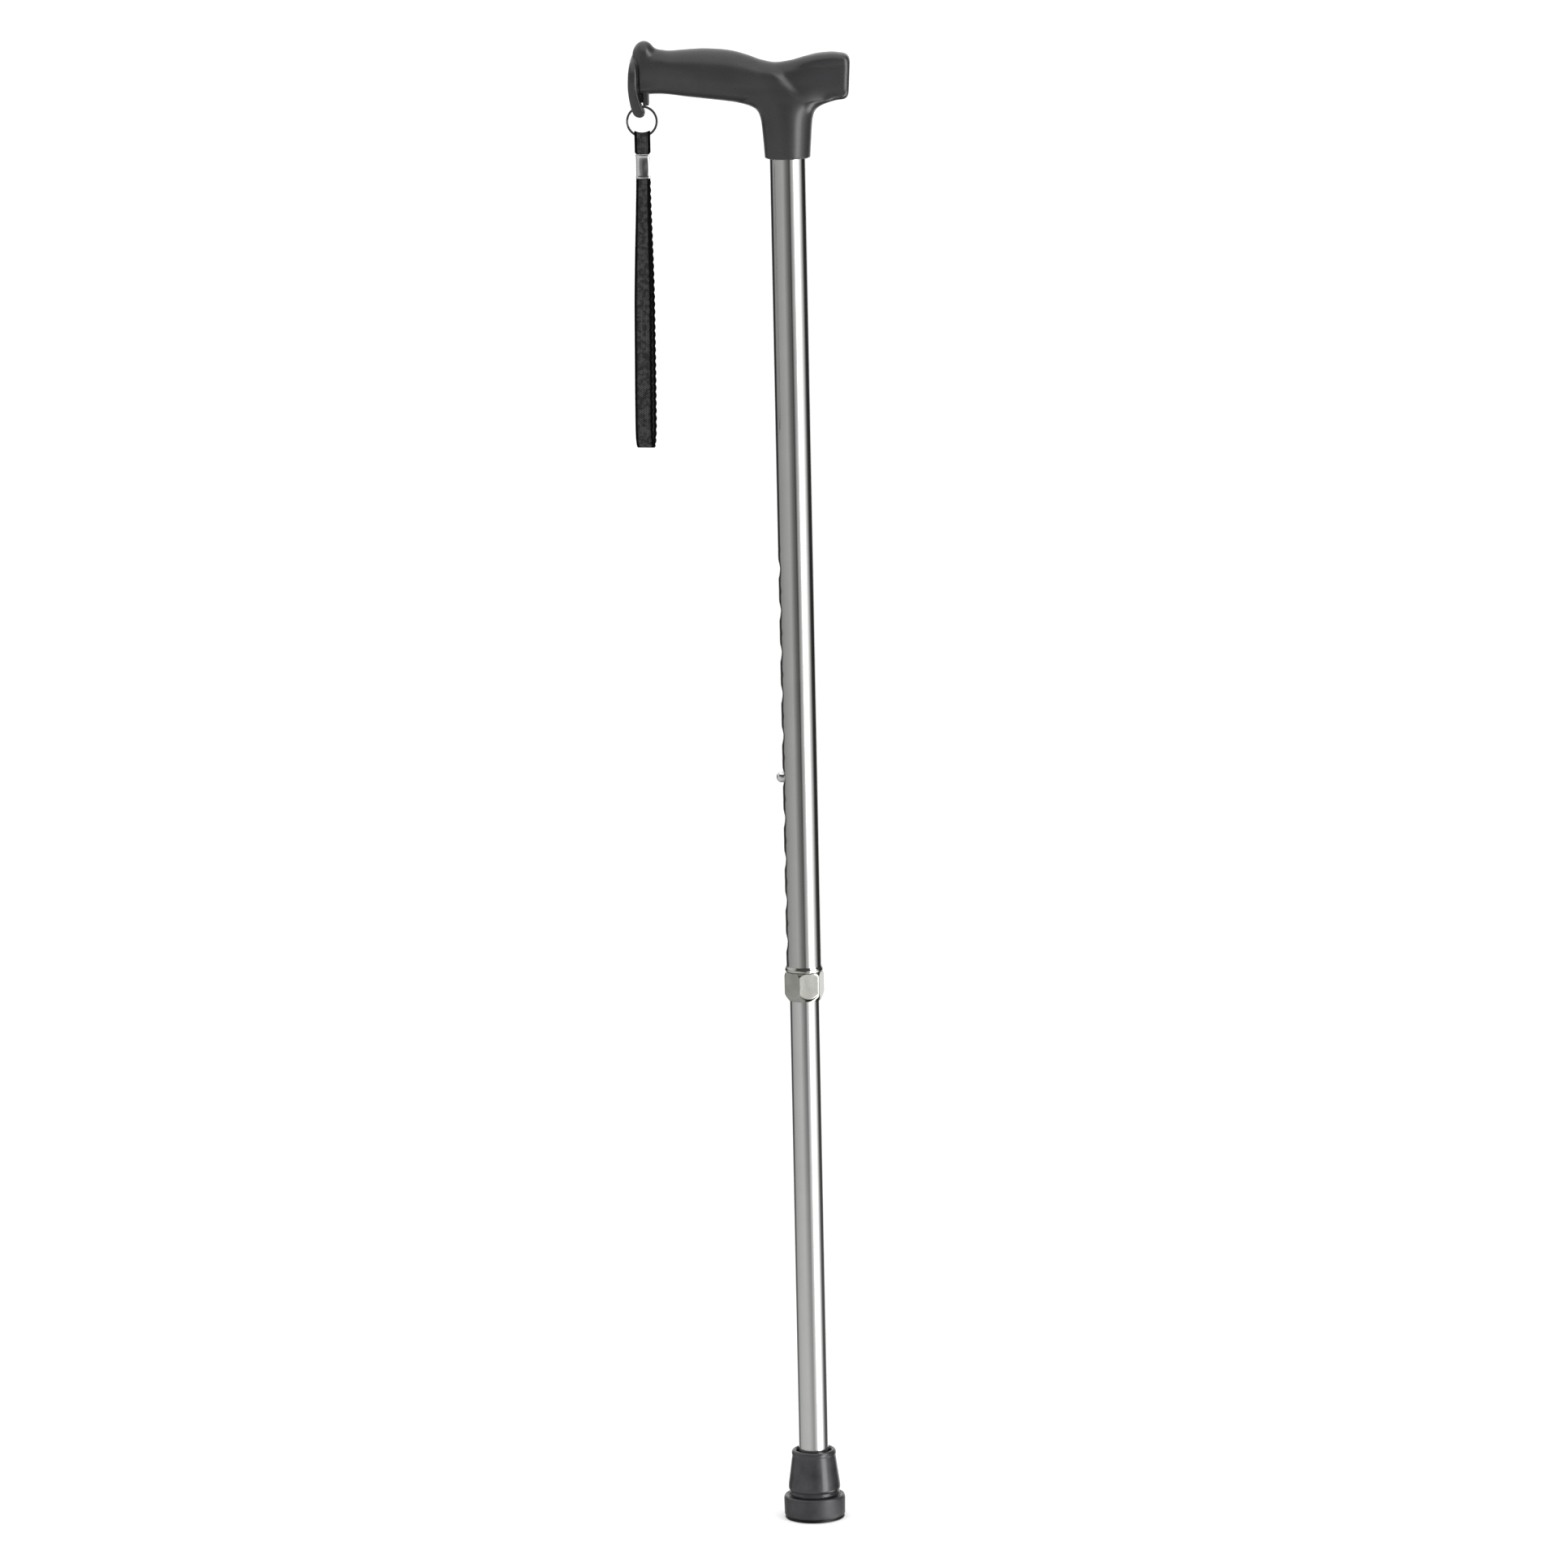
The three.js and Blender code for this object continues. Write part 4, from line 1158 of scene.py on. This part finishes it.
def make_tubes():
    holes = [BUTTON_Z + i * HOLE_PITCH for i in range(-HOLES_BELOW, HOLES_ABOVE + 1)]
    v, f = tube_with_holes(UPPER_R, UPPER_BORE_R, UPPER_Z0, UPPER_Z1, holes, HOLE_R, dimple=0.45)
    obj = mesh_object("upper_tube_drawn", v, f, angle=35)
    face_out(obj)
    dress(obj, "upper")
    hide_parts("upper_tube")
    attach(obj, "upper")
    v, f = tube_with_holes(LOWER_R, LOWER_BORE_R, LOWER_Z0, LOWER_Z1, [BUTTON_Z], BUTTON_HOLE_R)
    obj = mesh_object("lower_tube_drawn", v, f, angle=35)
    face_out(obj)
    dress(obj, "lower")
    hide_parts("lower_tube")
    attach(obj, "lower")


make_tubes()

# ------------------------------------------------------------------ snap button


def make_button():
    prof = [(0, 0), (BUTTON_R - 0.3, 0), (BUTTON_R - 0.08, 0.08), (BUTTON_R, 0.3), (BUTTON_R, 2.0), (BUTTON_R, 4.0), (BUTTON_R, 5.1)]
    for t in np.linspace(0, math.pi / 2, 15)[1:-1]:
        prof.append((BUTTON_R * math.cos(t) ** 0.9, 5.1 + 3.1 * math.sin(t)))
    prof.append((0, 8.2))
    v, f = revolve(prof, 56, False)
    v = np.array(v)
    v = np.stack([BUTTON_BACK_X - v[:, 2], v[:, 1], BUTTON_Z + v[:, 0]], 1)
    obj = mesh_object("snap_button_dome", v, f, angle=50)
    face_out(obj)
    dress(obj, "chrome")
    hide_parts("snap_button")
    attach(obj, "button")


make_button()

# ------------------------------------------------------------------ collar


def make_ferrule():
    z0, z1 = FERRULE_RIM_Z0, FERRULE_RIM_Z1
    prof = [
        (9.4, THREAD_Z0), (THREAD_R - 0.35, THREAD_Z0), (THREAD_R, THREAD_Z0 + 0.5), (THREAD_R, z0), (11.1, z0),
        (11.42, z0 + 0.1), (11.62, z0 + 0.32), (11.7, z0 + 0.65), (11.7, z0 + 1.05), (11.64, z0 + 1.45), (11.52, z0 + 1.85),
        (11.36, z0 + 2.25), (11.18, z0 + 2.6), (11.02, z0 + 2.9), (10.94, z0 + 3.1), (10.92, z1),
        (UPPER_R + 0.02, z1), (UPPER_R + 0.02, UPPER_Z0 - 0.3), (9.4, UPPER_Z0 - 0.3),
    ]
    v, f = revolve(prof, 128, True)
    obj = mesh_object("end_ferrule_turned", v, f, angle=45)
    face_out(obj)
    dress(obj, "rim")
    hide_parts("end_ferrule")
    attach(obj, "upper")


make_ferrule()


def nut_distance(P):
    x, y, z = P[:, 0], P[:, 1], P[:, 2]
    r = np.sqrt(x * x + y * y)
    # six flats
    apothem = NUT_CORNER_R * math.cos(math.pi / 6)
    flat = None
    for i in range(6):
        a = math.radians(-90 - NUT_TURN + 30 + 60 * i)
        d = x * math.cos(a) + y * math.sin(a) - apothem
        flat = d if flat is None else smax(flat, d, 0.42)
    body = smax(flat, r - 12.65, 0.3)
    # cone and chamfers
    k = 0.5
    cone = (r - 11.4) * 0.84 - (z - (NUT_Z0 + 2.9)) * 0.54
    cone2 = (r - 9.95) * 0.78 - (z - NUT_Z0) * 0.62 - 0.15
    top = (r - 11.6) * 0.86 + (z - (NUT_Z1 - 0.5)) * 0.51
    body = smax(body, cone, k * 1.6)
    body = smax(body, cone2, k)
    body = smax(body, top, 0.4)
    body = smax(body, NUT_Z0 + 0.5 - z, 0.3)
    body = smax(body, z - NUT_Z1, 0.4)
    zz = z - NUT_Z0
    bore_r = np.interp(zz, [0, 0.5, 0.9, 2.4, 3.6, 5.6, 18.0, 18.5], [9.75, 9.65, 9.4, 9.4, 9.9, 10.4, 10.4, 10.9])
    body = smax(body, -(r - bore_r), 0.3)
    return body


def make_nut():
    step = 0.27
    v, q = solid_of(nut_distance, (-13.3, -13.3, NUT_Z0 - 0.7), (13.3, 13.3, NUT_Z1 + 0.7), step)
    obj = quads_object("lock_nut_milled", v, q)
    dress(obj, "nut")
    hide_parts("lock_nut")
    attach(obj, "nut")


make_nut()

# ------------------------------------------------------------------ rubber tip


def make_tip():
    prof = [(0, 0)]
    for r0, r1 in ((5.0, 6.8), (9.2, 11.0), (13.4, 15.0)):
        prof += [(r0 - 0.15, 0), (r0 + 0.1, 0.15), (r0 + 0.25, 1.1), (r0 + 0.45, 1.3), (r1 - 0.45, 1.3), (r1 - 0.25, 1.1), (r1 - 0.1, 0.15), (r1 + 0.15, 0)]
    prof += [
        (17.7, 0.0), (18.1, 0.1), (18.25, 0.35), (18.15, 0.7), (17.7, 1.0), (17.6, 1.35), (17.8, 1.7), (18.35, 1.95), (18.55, 2.4),
        (18.6, 5.0), (18.7, 9.0), (18.75, 11.9), (18.7, 12.7), (18.5, 13.4), (18.15, 13.95), (17.7, 14.2), (17.2, 14.2),
        (16.5, 13.95), (15.8, 13.5), (15.1, 13.15), (14.7, 13.25), (14.6, 13.7), (14.8, 14.2), (15.2, 14.65), (15.5, 15.15),
        (15.58, 15.6), (15.45, 16.05), (15.2, 16.4), (15.0, 16.7), (15.0, 17.0), (15.2, 17.3), (15.55, 17.7), (15.82, 18.3),
        (15.92, 19.0), (15.9, 20.0), (15.68, 22.0),
    ]
    for z in np.linspace(24, 37.4, 6):
        prof.append((15.68 + (13.42 - 15.68) * (z - 22.0) / (38.4 - 22.0), z))
    prof += [
        (13.42, 38.4), (13.4, 39.0), (13.5, 39.6), (13.6, 40.2), (13.6, 40.9), (13.42, 41.6), (13.05, 42.15), (12.6, 42.48),
        (12.1, 42.6), (11.6, 42.5), (11.15, 42.2), (10.8, 41.7), (10.6, 41.0), (10.5, 40.2), (10.45, 39.0), (10.3, 38.3),
        (9.9, 37.9), (9.4, 37.7), (9.4, 25.0),
        (9.4, 8.0), (9.35, 6.5), (9.2, 6.4), (5.0, 6.4), (0, 6.4),
    ]
    v, f = revolve(prof, 112, False)
    obj = mesh_object("rubber_tip_moulded", v, f, angle=40)
    face_out(obj)
    dress(obj, "rubber")
    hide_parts("rubber_tip")
    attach(obj, "lower")


make_tip()

# ------------------------------------------------------------------ screw at the back of the handle


def make_screw():
    """Pan head with a cross recess; the shank has a coarse thread."""
    n = 64
    rows = []
    # shank, from the point outwards (axis coordinate u, radius)
    for u in np.arange(0.0, 6.0, 0.12):
        core = 1.15 if u > 1.4 else 0.12 + (1.15 - 0.12) * (u / 1.4)
        rows.append((u, core, 0.5 if u > 0.3 else 0.1))
    verts, faces = [], []
    ids = []
    for u, core, depth in rows:
        ring = []
        for j in range(n):
            a = 2 * math.pi * j / n
            ph = (u / 1.3 - j / n) % 1.0
            crest = max(0.0, 1 - abs(ph - 0.5) / 0.28)
            r = min(core + depth * crest, 1.75)
            ring.append(len(verts))
            verts.append((r * math.cos(a), r * math.sin(a), u))
        ids.append(ring)
    head = [(1.6, 6.0), (3.45, 6.0), (3.62, 6.08), (3.7, 6.3), (3.66, 6.8), (3.5, 7.2), (3.2, 7.55), (2.9, 7.8), (2.4, 8.0), (2.0, 8.08)]
    for r, u in head:
        ring = []
        for j in range(n):
            a = 2 * math.pi * j / n
            ring.append(len(verts))
            verts.append((r * math.cos(a), r * math.sin(a), u))
        ids.append(ring)
    # cross recess: concentric rings whose depth follows a cross
    for r in np.linspace(1.9, 0.15, 14):
        ring = []
        for j in range(n):
            a = 2 * math.pi * j / n
            x, y = r * math.cos(a), r * math.sin(a)
            arm = min(abs(x), abs(y))
            cut = 1 - float(smoothstep(arm, 0.28, 0.46))
            cut *= 1 - float(smoothstep(max(abs(x), abs(y)), 1.55, 1.8))
            top = 8.12 + 0.1 * (1 - r / 2)
            ring.append(len(verts))
            verts.append((x, y, top - cut * (0.75 + 0.5 * (1 - r / 1.9))))
        ids.append(ring)
    for a, b in zip(ids[:-1], ids[1:]):
        for j in range(n):
            k = (j + 1) % n
            faces.append((a[j], a[k], b[k], b[j]))
    faces.append(tuple(ids[0][::-1]))
    faces.append(tuple(ids[-1]))
    v = np.array(verts)
    v = np.stack([v[:, 0], 6.2 + v[:, 2], SCREW_Z + v[:, 1]], 1)
    obj = mesh_object("handle_screw_pan", v, faces, angle=40)
    face_out(obj)
    dress(obj, "steel")
    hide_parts("handle_screw")
    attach(obj, "upper")


make_screw()

# ------------------------------------------------------------------ inner pieces keep their CAD shape

for node, key in (("tip_washer", "steel"), ("button_spring", "steel"), ("guide_bush", "nylon"), ("compression_ring", "nylon")):
    dress(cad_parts[node], key)

# ------------------------------------------------------------------ floor and light


def make_floor():
    me = bpy.data.meshes.new("floor")
    n, size = 24, 60.0
    verts = [
        ((i / n - 0.5) * size, (j / n - 0.5) * size, -0.0002) for j in range(n + 1) for i in range(n + 1)
    ]
    faces = [
        (j * (n + 1) + i, j * (n + 1) + i + 1, (j + 1) * (n + 1) + i + 1, (j + 1) * (n + 1) + i)
        for j in range(n)
        for i in range(n)
    ]
    me.from_pydata(verts, [], faces)
    obj = bpy.data.objects.new("floor", me)
    scene.collection.objects.link(obj)
    nd = Nodes("floor_paper")
    cloud = nd.noise(nd.coords(), 3.0, 2.0)
    nd.colour(nd.ramp(cloud, [(0.3, (0.93, 0.93, 0.93)), (0.7, (0.95, 0.95, 0.95))]))
    nd.set(Roughness=0.9, Specular_IOR_Level=0.0, Emission_Color=(1, 1, 1, 1), Emission_Strength=0.14)
    me.materials.append(nd.mat)
    obj.visible_glossy = False


make_floor()


def make_world():
    """White surroundings for everything diffuse; what shines reflects a studio of soft boxes and dark cards."""
    world = bpy.data.worlds.new("studio")
    scene.world = world
    world.use_nodes = True
    t = world.node_tree
    t.nodes.clear()

    def new(kind, **values):
        node = t.nodes.new("ShaderNode" + kind)
        for k, v in values.items():
            setattr(node, k, v)
        return node

    def m(op, a, b=None):
        node = new("Math", operation=op)
        for i, v in enumerate((a, b)):
            if v is None:
                continue
            if isinstance(v, (int, float)):
                node.inputs[i].default_value = v
            else:
                t.links.new(v, node.inputs[i])
        return node.outputs[0]

    def ramp(fac, stops):
        r = new("ValToRGB")
        r.color_ramp.interpolation = "LINEAR"
        while len(r.color_ramp.elements) < len(stops):
            r.color_ramp.elements.new(0.5)
        for e, (p, c) in zip(r.color_ramp.elements, stops):
            e.position = p
            e.color = (c, c, c, 1)
        t.links.new(fac, r.inputs["Fac"])
        return r.outputs["Color"]

    co = new("TexCoord")
    sep = new("SeparateXYZ")
    t.links.new(co.outputs["Generated"], sep.inputs[0])
    x, y, z = sep.outputs
    # azimuth from the camera's side (-Y), positive towards +X, as 0..1 over -180..180 degrees
    az = m("ARCTAN2", x, m("MULTIPLY", y, -1.0))
    az = m("ADD", m("DIVIDE", az, 2 * math.pi), 0.5)

    def at(deg):
        return (deg + 180.0) / 360.0

    S = 8.0  # scale of the ramps, which hold 0..1
    # level, seen by upright surfaces
    level = ramp(
        az,
        [
            (at(-180), 1.0 / S), (at(-156), 1.0 / S), (at(-148), 0.03 / S), (at(-122), 0.03 / S), (at(-114), 0.36 / S),
            (at(-90), 0.44 / S), (at(-36), 0.56 / S), (at(-18), 0.30 / S), (at(-7), 0.17 / S), (at(2), 0.15 / S),
            (at(5), 0.06 / S), (at(10), 0.06 / S), (at(14), 0.38 / S), (at(29), 0.75 / S), (at(37), 1.6 / S),
            (at(41), 6.5 / S), (at(60), 6.5 / S), (at(66), 1.8 / S), (at(80), 1.0 / S), (at(92), 0.4 / S),
            (at(103), 0.03 / S), (at(138), 0.03 / S), (at(146), 1.2 / S), (at(180), 1.0 / S),
        ],
    )
    # a little lower, where the floor lightens everything
    lower = ramp(
        az,
        [
            (at(-180), 1.0 / S), (at(-156), 1.0 / S), (at(-146), 0.2 / S), (at(-124), 0.2 / S), (at(-114), 0.45 / S),
            (at(-80), 0.56 / S), (at(-20), 0.60 / S), (at(2), 0.45 / S), (at(14), 0.5 / S), (at(29), 0.9 / S),
            (at(37), 1.6 / S), (at(41), 6.0 / S), (at(60), 6.0 / S), (at(66), 2.0 / S), (at(80), 1.1 / S),
            (at(92), 0.5 / S), (at(103), 0.12 / S), (at(138), 0.12 / S), (at(146), 1.2 / S), (at(180), 1.0 / S),
        ],
    )
    # under the part
    deep = ramp(
        az,
        [
            (at(-180), 0.03 / S), (at(-152), 0.03 / S), (at(-136), 0.45 / S), (at(-20), 0.55 / S), (at(8), 0.4 / S),
            (at(24), 0.03 / S), (at(70), 0.03 / S), (at(80), 6.0 / S), (at(104), 6.0 / S), (at(114), 0.03 / S),
            (at(180), 0.03 / S),
        ],
    )
    high = ramp(
        az,
        [
            (at(-180), 1.0 / S), (at(-140), 0.9 / S), (at(-115), 0.7 / S), (at(-64), 0.5 / S), (at(-52), 0.06 / S),
            (at(42), 0.06 / S), (at(50), 5.0 / S), (at(76), 5.0 / S), (at(84), 0.05 / S), (at(138), 0.05 / S),
            (at(150), 0.7 / S), (at(180), 1.0 / S),
        ],
    )

    def zone(a, b, z0, z1):
        """a below z0, b above z1, by the height of the ray's direction"""
        up = new("MapRange")
        up.interpolation_type = "SMOOTHSTEP"
        up.inputs["From Min"].default_value = z0
        up.inputs["From Max"].default_value = z1
        t.links.new(z, up.inputs["Value"])
        mix = new("Mix", data_type="RGBA")
        t.links.new(up.outputs["Result"], mix.inputs[0])
        for value, socket in ((a, mix.inputs[6]), (b, mix.inputs[7])):
            if isinstance(value, float):
                socket.default_value = (value, value, value, 1)
            else:
                t.links.new(value, socket)
        return mix.outputs[2]

    studio = zone(zone(zone(zone(deep, lower, -0.62, -0.38), level, -0.27, -0.18), high, 0.02, 0.4), 1.2 / S, 0.7, 0.9)
    shine = new("Background")
    t.links.new(studio, shine.inputs["Color"])
    shine.inputs["Strength"].default_value = S
    plain = new("Background")
    plain.inputs["Color"].default_value = (1, 1, 1, 1)
    plain.inputs["Strength"].default_value = 1.07
    path = new("LightPath")
    both = new("MixShader")
    t.links.new(path.outputs["Is Glossy Ray"], both.inputs[0])
    t.links.new(plain.outputs[0], both.inputs[1])
    t.links.new(shine.outputs[0], both.inputs[2])
    out = new("OutputWorld")
    t.links.new(both.outputs[0], out.inputs["Surface"])


make_world()


def make_lights():
    def area(name, place, target, size, power):
        light = bpy.data.lights.new(name, "AREA")
        light.shape = "RECTANGLE"
        light.size, light.size_y = size
        light.energy = power
        obj = bpy.data.objects.new(name, light)
        scene.collection.objects.link(obj)
        obj.location = place
        obj.rotation_mode = "QUATERNION"
        obj.rotation_quaternion = (Vector(target) - Vector(place)).to_track_quat("-Z", "Y")
        obj.visible_glossy = False
        obj.visible_camera = False

    area("key", (1.6, -1.5, 1.9), (0, 0, 0.45), (1.4, 1.8), 16.0)
    area("fill", (-1.8, -1.2, 1.2), (0, 0, 0.45), (1.4, 1.8), 6.0)


make_lights()
